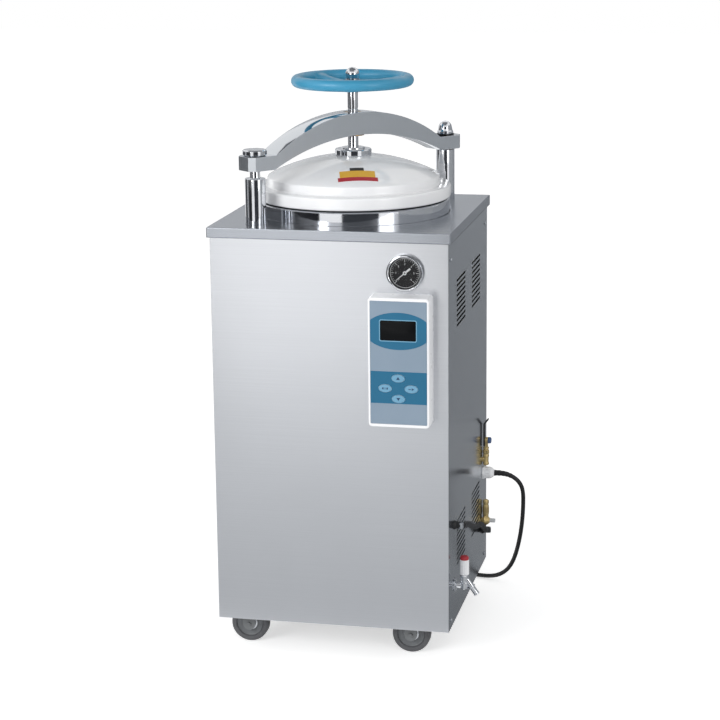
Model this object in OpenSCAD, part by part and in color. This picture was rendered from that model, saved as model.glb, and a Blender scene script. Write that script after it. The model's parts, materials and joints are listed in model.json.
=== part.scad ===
// Upright steam steriliser on four swivel castors: a sheet-metal cabinet round a pressure vessel,
// a domed lid held down by a swinging arched yoke, a screw spindle and a handwheel.
// Millimetres. The origin is on the vessel's axis at floor level, the front faces -Y, +Z is up.

/* [Cabinet] */
// Width of the cabinet over its side panels
cabinet_w = 440; // [430:2:480]
// Depth of the cabinet over its front and back panels
cabinet_d = 440; // [430:2:480]
// Height of the deck above the floor
deck_z = 812; // [792:2:840]
// Height of the panels' lower edge above the floor
skirt_z = 64; // [60:1:70]
// Thickness of the sheet steel
sheet_t = 1.5; // [1.2:0.1:2]
// Overhang of the deck beyond the panels
cap_overhang = 5; // [3:1:9]
// Height of the deck's down-turned lip
cap_lip_h = 19; // [14:1:26]

/* [Chamber] */
// Inside diameter of the pressure vessel
chamber_d = 318; // [300:1:322]
// Thickness of the vessel's wall
chamber_wall = 4; // [3:0.5:6]
// Depth of the vessel below its mouth
chamber_depth = 475; // [440:5:480]
// Outside diameter of the mouth ring
ring_d = 362; // [356:1:366]
// Height of the mouth ring above the deck
ring_h = 25; // [20:1:28]

/* [Lid] */
// Outside diameter of the lid's rim
lid_rim_d = 367; // [362:1:370]
// Height of the lid's rim
lid_rim_h = 24; // [20:1:28]
// Diameter of the upright wall above the rim
lid_wall_d = 325; // [318:1:334]
// Height of the upright wall above the rim
lid_wall_h = 17; // [13:1:20]
// Rise of the dome above the wall
dome_rise = 39; // [34:1:41]
// Thickness of the lid's plate
lid_plate_t = 8; // [5:0.5:10]

/* [Yoke] */
// Distance from the vessel's axis to each post
post_radius = 225; // [222:1:230]
// Direction of the yoke, turned from +X towards +Y
yoke_angle = 49.9; // [46:0.1:54]
// Length of the yoke beyond each post
yoke_tail = 25; // [22:1:30]
// Width of the yoke in plan
yoke_w = 50; // [44:1:54]
// Thickness of the yoke at its ends
yoke_end_t = 26; // [22:1:30]
// Height of the yoke's underside above the deck at its ends
yoke_end_z = 99; // [97:1:106]
// Height of the yoke's underside above the deck at its middle
yoke_mid_z = 146; // [142:1:152]
// Thickness of the yoke at its middle
yoke_mid_t = 42; // [36:1:46]
// Diameter of the front post's column
front_post_d = 38; // [32:1:42]
// Diameter of the rear post's column
rear_post_d = 36; // [32:1:40]

/* [Spindle and handwheel] */
// Diameter of the spindle
spindle_d = 20; // [16:1:24]
// Outside diameter of the handwheel
wheel_d = 230; // [200:2:250]
// Thickness of the handwheel's rim
wheel_rim_t = 22; // [18:1:26]
// Height of the middle of the rim above the deck
wheel_z = 246; // [240:1:256]
// Number of spokes
spoke_count = 3; // [3:1:5]

/* [Control box] */
// Width of the control box
box_w = 112; // [106:2:120]
// Height of the control box
box_h = 238; // [230:2:250]
// Depth of the control box
box_d = 40; // [30:1:50]
// Place of the control box's middle, to the right of the vessel's axis
box_x = 137; // [120:1:144]
// Depth of the control box's top edge below the deck
box_drop = 111; // [110:1:130]

/* [Pressure gauge] */
// Diameter of the gauge's bezel
gauge_d = 67; // [60:1:72]
// Place of the gauge to the right of the vessel's axis
gauge_x = 142; // [120:1:146]
// Depth of the gauge's middle below the deck
gauge_drop = 73; // [70:1:74]

/* [Castors] */
// Diameter of a castor's wheel
castor_d = 72; // [68:1:74]
// Width of a castor's wheel
castor_w = 22; // [18:1:24]
// Distance from the panels inwards to a swivel's axis
swivel_inset = 63; // [60:1:70]
// Distance from a swivel's axis to its wheel's axle
castor_trail = 18; // [14:1:20]

/* [Side fittings] */
// Place of the drain tap along the side panel, in front of the axis
tap_y = 158; // [140:1:170]
// Height of the drain tap's nipple
tap_z = 136; // [130:1:140]
// Place of the valves and the cable gland along the side panel, behind the axis
valve_y = 172; // [160:1:180]
// Height of the cable gland
gland_z = 258; // [254:1:260]
// Diameter of the mains cable
cable_d = 8.6; // [7:0.2:9]

/* [Hidden] */

// Shared clearances and fineness
fit = 0.05;          // radial gap of a shaft that turns in its bore
gap = 0.3;           // gap between pieces that move past each other
over = 1;            // how far a cut runs past the face it opens
$fn = 72;
fine_fn = 144;
small_fn = 32;

// Colours
steel_c = "#c3c6ca";
dark_steel_c = "#8f959b";
chrome_c = "#dfe3e8";
enamel_c = "#f2f3f5";
brass_c = "#b9974e";
black_c = "#2a2c2f";
teal_c = "#3f93bb";
white_c = "#eef0f2";

// Derived places of the cabinet
panel_x = cabinet_w / 2;
panel_y = cabinet_d / 2;
inner_x = panel_x - sheet_t;
inner_y = panel_y - sheet_t;
deck_under = deck_z - sheet_t;
panel_top = deck_under - gap;
front_y = -panel_y;
swivel_x = panel_x - swivel_inset;
swivel_y = panel_y - swivel_inset;

// Castors, from the floor up
wheel_r = castor_d / 2;
axle_r = 4;
axle_end = 3;
fork_gap = 2;        // beside the wheel, each side
fork_t = 3;
fork_w = 24;
crown_gap = 3;       // above the wheel
crown_t = 5;
crown_z = castor_d + crown_gap;
swivel_r = 18;
swivel_h = 10;
kingpin_r = 5;
plate_t = 4;
plate_z = crown_z + crown_t + swivel_h + gap;
plate_w = 46;        // from the swivel's axis inwards

// Base frame of flat bars on the castor plates
bar_w = 25;
bar_h = 13;
frame_gap = 1;       // between the frame and the panels
frame_x = inner_x - frame_gap;
frame_y = inner_y - frame_gap;
frame_z = plate_z + plate_t;
frame_top = frame_z + bar_h;
cross_x = 75;        // middle of each cross bar

// Uprights and top ring of angle section
angle_w = 20;
angle_t = 3;

// Panels
return_w = 5;        // folded edge at the top and bottom of each panel
vent_count = 10;
vent_pitch = 9.3;
vent_h = 4.4;
vent_w = 95;
vent_front_y = -132; // front end of the front group
vent_back_y = 38;    // front end of the back group
vent_high_drop = 189; // lowest slot of the upper groups, below the deck
vent_low_rise = 101; // lowest slot of the lower groups, above the skirt
screw_r = 4;
screw_h = 2.4;
screw_shank_r = 2;
screw_len = 6;
screw_inset = 26;
screw_rise = 16;     // lowest screws, above the skirt

// Vessel
chamber_r = chamber_d / 2;
vessel_r = chamber_r + chamber_wall;
ring_r = ring_d / 2;
mouth_z = deck_z + ring_h;
chamber_floor = mouth_z - chamber_depth;
vessel_base_t = 6;
vessel_base = chamber_floor - vessel_base_t;
ring_under = 22;     // how far the ring reaches below the deck
ring_gap = 1;        // between the ring and the deck's hole
mouth_round = 2;
lug_w = 44;
lug_h = 30;
lug_drop = 46;       // below the deck
lug_top = deck_z - lug_drop;
lug_beyond = 24;
leg_w = 20;
leg_y = 96;

// Insulation
wool_gap = 1;
wool_shares = [56, 53]; // of the room out to the panels: wool, air
wool_t = (min(inner_x, inner_y) - vessel_r - wool_gap)
  * wool_shares[0] / (wool_shares[0] + wool_shares[1]);
wool_from = 44;      // above the chamber's floor
wool_below_lug = 12;

// Heater and its plate
heater_rod_r = 6;
heater_ring_r = 100;
heater_rise = 22;
heater_open = 40;    // degrees left open between the two ends
heater_tail = 18;
plate_gap = 9;       // to the vessel's wall
plate_r = chamber_r - plate_gap;
plate_rise = 46;
plate_sheet = 2;
plate_hole_r = 6;
plate_ring_shares = [20, 37.5, 55, 69, 75]; // rings of holes, and last the rim
plate_rings = [for (i = [0 : 3]) plate_r * plate_ring_shares[i] / plate_ring_shares[4]];
plate_step = 42;     // spacing of holes round each ring
plate_leg_r = 5;
plate_leg_at = 125;

// Basket
basket_gap = 17;     // to the vessel's wall
basket_r = chamber_r - basket_gap;
basket_t = 1.5;
basket_room = 77;    // of the chamber's depth, below and above the basket
basket_h = chamber_depth - basket_room;
basket_slots = 24;
basket_slot_w = 12;
basket_slot_low = 50;    // plain bands under, between and over the slots
basket_slot_mid = 45;
basket_slot_over = 63;
basket_slot_h = (basket_h - basket_slot_low - basket_slot_mid - basket_slot_over) / 2;
basket_slot_step = basket_slot_h + basket_slot_mid;
basket_ring_step = 35;
basket_floor_holes = [for (i = [1 : 3]) i * basket_ring_step];
basket_rim_r = 3;

// Posts
front_col_gap = 15;  // below the yoke
stud_r = 9.5;
yoke_under = deck_z + yoke_end_z;
front_col_top = yoke_under - front_col_gap;
yoke_end_top = yoke_under + yoke_end_t;
head_r = 22.5;
head_h = 11;
head_z = yoke_end_top + 2 * gap;
head_cover = 2.5;
bush_flange_t = 1.6;
bush_flange_r = 17;
bush_wall = 3;
journal_r = 11;
rear_col_top = yoke_under - bush_flange_t - gap;
washer_t = 2;
washer_r = 17;
nut_r = 15.5;
nut_skirt = 11;
acorn_r = 13;
pivot_thread_r = 8;
pivot_thread_h = 12;
lower_stud_r = 10;
lower_stud_h = 14;   // below the lug
hex_r = 18;
hex_h = 11;

// Yoke outline, seen square to its length
yoke_half = post_radius + yoke_tail;
arch_in = 197;       // half-width of the arch's underside at the ends' level
arch_out = 193;      // half-width of the arch's top at the ends' level
arch_in_rise = yoke_mid_z - yoke_end_z;
arch_out_rise = yoke_mid_z + yoke_mid_t - yoke_end_z - yoke_end_t;
arch_in_r = (arch_in * arch_in + arch_in_rise * arch_in_rise) / (2 * arch_in_rise);
arch_out_r = (arch_out * arch_out + arch_out_rise * arch_out_rise) / (2 * arch_out_rise);
yoke_chamfer = 10;
slot_w = 2 * stud_r + 3;
slot_round = 1.5;
nut_body_r = 17;
nut_flange_r = 21;
nut_flange_t = 3;
nut_seat = 0.5;      // depth of the flat seat cut for the nut into the arch

// Lid, from its flat rim face up
lid_base = mouth_z + 3;
rim_r = lid_rim_d / 2;
wall_r = lid_wall_d / 2;
rim_top = lid_base + lid_rim_h;
wall_top = rim_top + lid_wall_h;
dome_r = (wall_r * wall_r + dome_rise * dome_rise) / (2 * dome_rise);
dome_centre = wall_top + dome_rise - dome_r;
pad_r = 36;
pad_z = dome_centre + sqrt(dome_r * dome_r - pad_r * pad_r);
lid_round = 4;
cavity_r = chamber_r - 5;
cavity_wall_top = rim_top + 4;
cavity_r2 = wall_r - lid_plate_t;
seal_in_r = chamber_r + 2;
seal_w = 11;
seal_deep = 4;
seal_z = mouth_z + gap;

// Boss on the lid and the foot of the spindle in it
boss_r = 34.5;
boss_h = 12;
boss_top = pad_z + boss_h;
pocket_deep = 9;
foot_r = 14;
foot_h = 8;
pocket_r = foot_r + 2 * gap;
collar_r = 22;
collar_h = 3;
foot_z = boss_top - foot_h - gap;

// Handwheel
wheel_mid = deck_z + wheel_z;
wheel_tube_r = wheel_rim_t / 2;
wheel_ring_r = wheel_d / 2 - wheel_tube_r;
hub_r = 25;
hub_top = wheel_mid - 2;
hub_h = 19;
spoke_r_in = 10;
spoke_r_out = 8;
spoke_turn = 22;     // direction of the first spoke
cap_r = 13;
cap_h = 11;
wheel_washer_r = 15;
wheel_washer_t = 3;
spindle_neck_r = 8;
spindle_neck_h = 12;

// Gauge, outwards from the front panel
gauge_z = deck_z - gauge_drop;
gauge_r = gauge_d / 2;
bezel_h = 10;
bezel_wall = 5;
bezel_in_r = gauge_r - bezel_wall;
case_r = gauge_r - 3.5;
case_deep = 34;
case_wall = 2;
dial_r = bezel_in_r - gap;
dial_out = 2.5;
dial_t = 1;
pivot_r = 1.5;
needle_out = 4.3;
needle_t = 0.8;
needle_len = 22;
needle_tail = 7;
needle_w = 2.6;
needle_hub_r = 3.5;
needle_rest = 130;   // degrees from straight up to the zero mark
glass_t = 2;
glass_out = 7.4;
stem_r = 6;
stem_len = 10;
gauge_pipe_r = 4;

// Control box, outwards from the front panel
box_top = deck_z - box_drop;
box_z = box_top - box_h / 2;
box_round = 7;
box_wall = 2.5;
membrane_w = box_w - 9;
membrane_h = box_h - 13;
membrane_round = 5;
membrane_t = 1;
window_share = [0.494, 0.764];   // middle of the window across and up the membrane
window_w_share = 0.634;
window_h_share = 0.163;
window_t = 0.8;
key_a_share = 0.12;   // half length of a key, of the membrane's width
key_b_share = 0.0335; // half height of a key, of the membrane's height
key_up_share = [0.491, 0.376];
key_left_share = [0.26, 0.292];
key_right_share = [0.723, 0.292];
key_down_share = [0.495, 0.208];
key_back = 0.8;
key_t = 0.9;
key_gap = 0.4;
board_share = 0.8;
board_t = 1.6;
standoff_r = 3.5;
standoff_h = 12;
lead_hole_r = 14;

// Drain tap on the right panel
tap_nipple_r = 5.5;
tap_out = 19;        // from the panel to the tap's upright axis
tap_body_r = 8;
tap_below = 6.5;
tap_above = 21.5;
tap_rose_r = 13;
tap_rose_t = 3;
tap_spout_r = 5.5;
tap_spout_wall = 1.5;
tap_spout_len = 38;
tap_spout_tilt = 145; // from straight up, outwards
tap_spout_at = [2, 15.5]; // its start, outwards from the upright axis and above the nipple
tap_stop_r = 7;      // collar that stops a hose
tap_stop_t = 2.5;
tap_stop_at = 19;    // from the spout's start
tap_stem_r = 3;
knob_r = 8.6;
knob_h = 29;
knob_cap_r = 8;
knob_cap_h = 7;
knob_grooves = 12;
knob_groove_r = 1;
drain_r = 5;
elbow_wall = 2;      // thickness of a pipe's elbow blocks
boss_out = 8;        // from the vessel's wall to the end of a pipe boss
boss_wall = 4;
drain_knee_x = 186;

// Valves on the right panel
valve_out = 7;       // from the panel to a valve's upright axis
exhaust_z = 285;
exhaust_r = 6;
exhaust_low = 11;    // below the nipple
exhaust_up = 26.5;   // from the nipple up to the round body's top
exhaust_stem_up = 40; // from the nipple up to the lever's pivot
exhaust_nipple_r = 5;
tongue_t = 5.3;      // flat tongue that carries the lever's pin
tongue_w = 10;
tongue_r = 6.5;
tongue_out = 5.3;    // from the panel to the tongue
lever_t = 3.2;
lever_w = 9;
lever_down = 12;
lever_up = 33;
lever_bend = 14;
lever_tilt = 38;
lever_pin_r = 2.5;
lever_cap_r = 6.5;
lever_cap_h = 6.5;
manifold_r = 6;
manifold_x = 182;
manifold_rise = 16;  // above the chamber's floor
manifold_z = chamber_floor + manifold_rise;
safety_z = 158;
safety_r = 6;
safety_up = 43;
safety_down = 8;
cone_out = 4;        // from the panel to the cone's wide end
cone_r = 12;
cone_tip_r = 5;
cone_h = 11;
tip_r = 4.2;
tip_h = 11;
hose_z = 138;        // lower port of the return hose
port_z = 253;        // its upper port, over the drain tap
hose_r = 5.3;
nipple_r = 3.3;
barb_out = 12;       // from the panel to the axis of the hose and its barbs
barb_x = panel_x + barb_out;
barb_lap = 14;       // how far the hose is pushed over each barb

// Route of the return hose's middle along the side panel, points chosen by hand
hose_route = [[232, 159, 142.3], [232, 145, 147], [232, 130, 153], [232, 114, 161],
  [232, 97, 170.5], [232, 79, 178.8], [232, 60, 184.6], [232, 40, 189], [232, 20, 193.6],
  [232, 0, 199.4], [232, -20, 206.6], [232, -40, 214.6], [232, -60, 222.6], [232, -79, 229.8],
  [232, -97, 235.8], [232, -114, 240.6], [232, -130, 244.8], [232, -145, 249]];
hose_sides = 12;
hose_last = len(hose_route) - 1;
hose_low_end = hose_route[0] + barb_lap * hose_way(0);
hose_high_end = hose_route[hose_last] - barb_lap * hose_way(hose_last - 1);

// Cable gland
gland_r = 12;
gland_flange_r = 13.5;
gland_flange_t = 5;
gland_body_h = 11;
gland_cone_h = 8;
gland_cone_r = 8;
gland_thread_r = 9;
gland_thread_h = 13;
gland_nut_r = 13;
gland_nut_t = 5;
gland_end = panel_x + gland_flange_t + gland_body_h + gland_cone_h;

// Mains cable: the free stretch from the gland to the coil, points chosen by hand
cable_r = cable_d / 2;
cable_route = [[gland_end, valve_y, gland_z], [gland_end + 13, valve_y, gland_z],
  [270, 172.3, 256], [282, 173.4, 250.6], [291.6, 175.3, 242], [298, 178, 230.5],
  [300.5, 181.5, 216], [300.5, 185.5, 198], [299.5, 190, 178], [297.5, 195.5, 156],
  [294.5, 201.5, 134], [290.5, 208.5, 112], [285.5, 216, 90.5], [279.5, 224, 70],
  [272, 232.5, 51], [262.5, 241.5, 34.5], [250.5, 250.5, 21.5], [236, 259, 12],
  [219, 266.5, 6.6], [200, 272.5, 4.8], [179, 277, 4.8], [156, 279.6, 4.8],
  [132.5, 280.4, 4.8], [109, 280, 4.8]];
cable_sides = 8;

// The coil behind the cabinet: two layers, wound in on the floor and out again on top
coil_pitch = cable_d + 1.2;
coil_turns = 3;      // in each layer
coil_in_r = 36.8;
coil_out_r = coil_in_r + coil_turns * coil_pitch;
coil_join = cable_route[len(cable_route) - 1];
coil_lead = [-12, 0];   // from the join to the first loop
coil_centre = [coil_join[0] + coil_lead[0], coil_join[1] + coil_lead[1] + coil_out_r];
coil_low = coil_join[2];
coil_steps = 24;
coil_climb = 0.35;   // share of a turn in which the cable climbs to the second layer
coil_sides = 6;

// Plug at the coil's end
plug_r = 13;
plug_len = 34;
plug_neck_r = 7;
plug_neck = 16;
plug_face = 6;
pin_len = 18;
pin_w = 6;
pin_t = 1.8;
pin_spread = 6.5;

// Turns a module's local +Z outwards through the front panel, at a place on it
module on_front(x, z) {
  translate([x, front_y, z]) rotate([90, 0, 0]) children();
}

// Turns a module's local +Z outwards through the right panel, at a place on it
module on_right(y, z) {
  translate([panel_x, y, z]) rotate([0, 90, 0]) children();
}

// A rectangle with true round corners
module round_rect(w, h, r) {
  square([w - 2 * r, h], center = true);
  square([w, h - 2 * r], center = true);
  for (x = [-1, 1], y = [-1, 1])
    translate([x * (w / 2 - r), y * (h / 2 - r)]) circle(r = r, $fn = small_fn);
}

// A key's outline with round ends
module key_outline(a, b) {
  square([2 * (a - b), 2 * b], center = true);
  for (x = [-1, 1]) translate([x * (a - b), 0]) circle(r = b, $fn = small_fn);
}

// A tube or a bar between two points
module rod(from, to, r) {
  along = to - from;
  flat = norm([along[0], along[1]]);
  translate(from)
    rotate([0, atan2(flat, along[2]), atan2(along[1], along[0])])
      cylinder(r = r, h = norm(along), $fn = small_fn);
}

// A pipe along points, with an upright elbow block at each bend
module pipe(points, r) {
  for (i = [0 : len(points) - 2]) rod(points[i], points[i + 1], r);
  for (i = [1 : len(points) - 2]) translate(points[i] - [0, 0, r + elbow_wall])
    cylinder(r = r + elbow_wall, h = 2 * (r + elbow_wall), $fn = small_fn);
}

module ring(outer, inner, h) {
  difference() {
    cylinder(r = outer, h = h, $fn = fine_fn);
    translate([0, 0, -over]) cylinder(r = inner, h = h + 2 * over, $fn = fine_fn);
  }
}

// Base frame: four bars, two cross bars and a plate over each castor
module base_frame() {
  color(dark_steel_c) difference() {
    union() {
      for (y = [-1, 1])
        translate([-frame_x, y * (frame_y - bar_w / 2) - bar_w / 2, frame_z])
          cube([2 * frame_x, bar_w, bar_h]);
      for (x = [-1, 1])
        translate([x * (frame_x - bar_w / 2) - bar_w / 2, -frame_y, frame_z])
          cube([bar_w, 2 * frame_y, bar_h]);
      for (x = [-1, 1], y = [-1, 1]) {
        reach_x = frame_x - swivel_x + plate_w;
        reach_y = frame_y - swivel_y + plate_w;
        translate([x > 0 ? frame_x - reach_x : -frame_x,
            y > 0 ? frame_y - reach_y : -frame_y, plate_z])
          cube([reach_x, reach_y, plate_t + over]);
      }
    }
    for (x = [-1, 1], y = [-1, 1])
      translate([x * swivel_x, y * swivel_y, plate_z - over]) {
        cylinder(r = kingpin_r + fit, h = bar_h + plate_t + 2 * over, $fn = small_fn);
        translate([0, 0, over + plate_t])
          cylinder(r = 2 * kingpin_r, h = bar_h + over, $fn = small_fn);
      }
  }
}

// The two bars under the vessel's legs, welded between the front and back bars
module cross_bars() {
  length = 2 * (frame_y - bar_w);
  color(dark_steel_c) for (x = [-1, 1])
    translate([x * cross_x - bar_w / 2, -length / 2, frame_z]) cube([bar_w, length, bar_h]);
}

// Corner uprights and the ring of angle bars under the deck
module cabinet_frame() {
  ring_z = deck_under - angle_w;
  color(dark_steel_c) {
    for (x = [-1, 1], y = [-1, 1])
      mirror([x > 0 ? 0 : 1, 0, 0]) mirror([0, y > 0 ? 0 : 1, 0])
        translate([frame_x - angle_w, frame_y - angle_w, frame_top]) {
          translate([0, angle_w - angle_t, 0])
            cube([angle_w, angle_t, deck_under - frame_top - angle_t]);
          translate([angle_w - angle_t, 0, 0])
            cube([angle_t, angle_w, deck_under - frame_top - angle_t]);
        }
    for (y = [-1, 1]) {
      translate([-frame_x, y * (frame_y - angle_w / 2) - angle_w / 2, deck_under - angle_t])
        cube([2 * frame_x, angle_w, angle_t]);
      translate([-frame_x, y * (frame_y - angle_t / 2) - angle_t / 2, ring_z])
        cube([2 * frame_x, angle_t, angle_w]);
    }
    for (x = [-1, 1]) {
      translate([x * (frame_x - angle_w / 2) - angle_w / 2, -frame_y, deck_under - angle_t])
        cube([angle_w, 2 * frame_y, angle_t]);
      translate([x * (frame_x - angle_t / 2) - angle_t / 2, -frame_y, ring_z])
        cube([angle_t, 2 * frame_y, angle_w]);
    }
  }
}

// A flat panel with folded edges at its top and bottom, in the XZ plane, outside towards -Y
module sheet_panel(w) {
  fold_w = w - 2 * (angle_w + 2 * frame_gap);
  translate([-w / 2, 0, skirt_z]) cube([w, sheet_t, panel_top - skirt_z]);
  translate([-fold_w / 2, 0, skirt_z]) cube([fold_w, return_w, sheet_t]);
}

module panel_screw_holes(spots) {
  for (p = spots)
    translate([p[0], -over, p[1]]) rotate([-90, 0, 0])
      cylinder(r = screw_shank_r, h = sheet_t + 2 * over, $fn = small_fn);
}

// Front panel with the gauge's hole and the control box's lead hole
module front_panel() {
  color(steel_c) translate([0, front_y, 0]) difference() {
    sheet_panel(cabinet_w);
    translate([gauge_x, sheet_t + over, gauge_z]) rotate([90, 0, 0])
      cylinder(r = case_r + gap, h = sheet_t + 2 * over);
    translate([box_x, sheet_t + over, box_z]) rotate([90, 0, 0])
      cylinder(r = lead_hole_r, h = sheet_t + 2 * over, $fn = small_fn);
  }
}

// Screws hold each side panel at its corners, measured along the panel and up
side_spots = [for (y = [-1, 1], z = [skirt_z + screw_rise, deck_z - 2 * screw_inset])
  [y * (panel_y - screw_inset), z]];
back_spots = [for (x = [-1, 0, 1], z = [skirt_z + screw_rise, deck_z - 2 * screw_inset])
  [x * (panel_x - screw_inset), z]];

// Four groups of ventilation slots, for a panel that runs along X from the front
module vent_slots() {
  for (from = [vent_front_y, vent_back_y],
      low = [skirt_z + vent_low_rise, deck_z - vent_high_drop],
      i = [0 : vent_count - 1])
    translate([from, -over, low + i * vent_pitch])
      cube([vent_w, sheet_t + 2 * over, vent_h]);
}

// A side panel standing between the front and back panels, outside towards -Y
module side_panel() {
  difference() {
    sheet_panel(cabinet_d - 2 * sheet_t);
    vent_slots();
    panel_screw_holes(side_spots);
  }
}

module right_panel() {
  color(dark_steel_c) difference() {
    translate([panel_x, 0, 0]) rotate([0, 0, 90]) side_panel();
    on_right(-tap_y, tap_z) translate([0, 0, -sheet_t - over])
      cylinder(r = tap_nipple_r + gap, h = sheet_t + 2 * over, $fn = small_fn);
    on_right(valve_y, exhaust_z) translate([0, 0, -sheet_t - over])
      cylinder(r = exhaust_nipple_r + gap, h = sheet_t + 2 * over, $fn = small_fn);
    on_right(valve_y, safety_z) translate([0, 0, -sheet_t - over])
      cylinder(r = exhaust_nipple_r + gap, h = sheet_t + 2 * over, $fn = small_fn);
    for (port = [[valve_y, hose_z], [-tap_y, port_z]])
      on_right(port[0], port[1]) translate([0, 0, -sheet_t - over])
        cylinder(r = nipple_r + gap, h = sheet_t + 2 * over, $fn = small_fn);
    on_right(valve_y, gland_z) translate([0, 0, -sheet_t - over])
      cylinder(r = gland_thread_r + gap, h = sheet_t + 2 * over, $fn = small_fn);
  }
}

module left_panel() {
  color(dark_steel_c) mirror([1, 0, 0]) translate([panel_x, 0, 0]) rotate([0, 0, 90]) side_panel();
}

module back_panel() {
  color(dark_steel_c) translate([0, panel_y, 0]) rotate([0, 0, 180]) difference() {
    sheet_panel(cabinet_w);
    panel_screw_holes(back_spots);
  }
}

module panel_screw(spot) {
  translate([spot[0], 0, spot[1]]) rotate([90, 0, 0]) {
    cylinder(r = screw_r, h = screw_h, $fn = small_fn);
    translate([0, 0, -screw_len]) cylinder(r = screw_shank_r, h = screw_len + screw_h, $fn = small_fn);
  }
}

// Pan-head screws of the side and back panels
module cabinet_screws() {
  color(chrome_c) {
    translate([panel_x, 0, 0]) rotate([0, 0, 90]) for (s = side_spots) panel_screw(s);
    mirror([1, 0, 0]) translate([panel_x, 0, 0]) rotate([0, 0, 90])
      for (s = side_spots) panel_screw(s);
    translate([0, panel_y, 0]) rotate([0, 0, 180]) for (s = back_spots) panel_screw(s);
  }
}

// Stands a module at a post; end is -1 at the front post and 1 at the rear post
module at_post(end) {
  translate([end * post_radius * cos(yoke_angle), end * post_radius * sin(yoke_angle), 0])
    rotate([0, 0, yoke_angle]) children();
}

// Deck: a tray with a down-turned lip, a hole for the vessel's ring and two for the posts
module deck_cap() {
  cap_w = cabinet_w + 2 * cap_overhang;
  cap_d = cabinet_d + 2 * cap_overhang;
  color(steel_c) difference() {
    translate([-cap_w / 2, -cap_d / 2, deck_z - cap_lip_h]) cube([cap_w, cap_d, cap_lip_h]);
    translate([-cap_w / 2 + sheet_t, -cap_d / 2 + sheet_t, deck_z - cap_lip_h - over])
      cube([cap_w - 2 * sheet_t, cap_d - 2 * sheet_t, cap_lip_h - sheet_t + over]);
    translate([0, 0, deck_under - over])
      cylinder(r = ring_r + ring_gap, h = sheet_t + 2 * over, $fn = fine_fn);
    at_post(-1) translate([0, 0, deck_under - over])
      cylinder(r = front_post_d / 2 + gap, h = sheet_t + 2 * over);
    at_post(1) translate([0, 0, deck_under - over])
      cylinder(r = rear_post_d / 2 + gap, h = sheet_t + 2 * over);
  }
}

// Directions of the two pipes that leave the vessel's wall
gauge_knee = [gauge_x, front_y + case_deep + stem_len + stem_r + elbow_wall];
gauge_toward = gauge_knee / norm(gauge_knee);
manifold_toward = [manifold_x, valve_y] / norm([manifold_x, valve_y]);

// Short boss on the vessel's wall for a pipe
module pipe_boss(toward, z, r) {
  translate([0, 0, z]) rotate([0, 0, atan2(toward[1], toward[0])]) rotate([0, 90, 0])
    translate([0, 0, vessel_r - chamber_wall / 2])
      cylinder(r = r + boss_wall, h = boss_out + chamber_wall / 2, $fn = small_fn);
}

// Pressure vessel: a cylinder with a heavy mouth ring, two lugs for the posts and four legs
module vessel() {
  color(chrome_c) difference() {
    union() {
      rotate_extrude($fn = fine_fn) polygon([
        [0, vessel_base], [vessel_r, vessel_base], [vessel_r, deck_z - ring_under],
        [ring_r, deck_z - ring_under], [ring_r, mouth_z - mouth_round],
        [ring_r - mouth_round, mouth_z], [chamber_r, mouth_z], [chamber_r, chamber_floor],
        [0, chamber_floor]]);
      for (end = [-1, 1]) rotate([0, 0, yoke_angle + (end < 0 ? 180 : 0)])
        translate([chamber_r + chamber_wall / 2, -lug_w / 2, lug_top - lug_h])
          cube([post_radius + lug_beyond - chamber_r - chamber_wall / 2, lug_w, lug_h]);
      for (x = [-1, 1], y = [-1, 1])
        translate([x * cross_x - leg_w / 2, y * leg_y - leg_w / 2, frame_top])
          cube([leg_w, leg_w, vessel_base - frame_top + vessel_base_t / 2]);
      pipe_boss(gauge_toward, gauge_z, gauge_pipe_r);
      pipe_boss(manifold_toward, manifold_z, manifold_r);
    }
    for (end = [-1, 1]) at_post(end) translate([0, 0, lug_top - lug_h - over])
      cylinder(r = lower_stud_r + fit, h = lug_h + 2 * over, $fn = small_fn);
    for (turn = [-1, 1]) rotate([0, 0, turn * heater_open / 2])
      translate([heater_ring_r, 0, vessel_base - over])
        cylinder(r = heater_rod_r + fit, h = vessel_base_t + 2 * over, $fn = small_fn);
    translate([0, 0, vessel_base - over])
      cylinder(r = drain_r, h = vessel_base_t + 2 * over, $fn = small_fn);
  }
}

// Mineral-wool jacket round the vessel
module insulation() {
  from_z = chamber_floor + wool_from;
  to_z = lug_top - lug_h - wool_below_lug;
  color("#d9d3b8") translate([0, 0, from_z])
    ring(vessel_r + wool_gap + wool_t, vessel_r + wool_gap, to_z - from_z);
}

// Ring heater with two ends that pass through the vessel's floor
module heater() {
  ring_z = chamber_floor + heater_rise;
  sleeve = heater_rod_r + elbow_wall;
  color(black_c) {
    translate([0, 0, ring_z]) rotate([0, 0, heater_open / 2])
      rotate_extrude(angle = 360 - heater_open, $fn = fine_fn)
        translate([heater_ring_r, 0]) circle(r = heater_rod_r, $fn = small_fn);
    for (turn = [-1, 1]) rotate([0, 0, turn * heater_open / 2])
      translate([heater_ring_r, 0, 0]) {
        translate([0, 0, vessel_base - heater_tail])
          cylinder(r = heater_rod_r, h = ring_z - vessel_base + heater_tail, $fn = small_fn);
        translate([0, 0, ring_z - sleeve]) cylinder(r = sleeve, h = 2 * sleeve, $fn = small_fn);
      }
  }
}

// Perforated plate on three legs that keeps the basket off the heater
module heater_plate() {
  color(steel_c) {
    translate([0, 0, chamber_floor + plate_rise]) difference() {
      cylinder(r = plate_r, h = plate_sheet, $fn = fine_fn);
      for (r = plate_rings) {
        n = floor(2 * PI * r / plate_step);
        for (i = [0 : n - 1]) rotate([0, 0, 360 * i / n]) translate([r, 0, -over])
          cylinder(r = plate_hole_r, h = plate_sheet + 2 * over, $fn = small_fn);
      }
    }
    for (turn = [90, 210, 330]) rotate([0, 0, turn])
      translate([plate_leg_at, 0, chamber_floor])
        cylinder(r = plate_leg_r, h = plate_rise + plate_sheet / 2, $fn = small_fn);
  }
}

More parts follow.
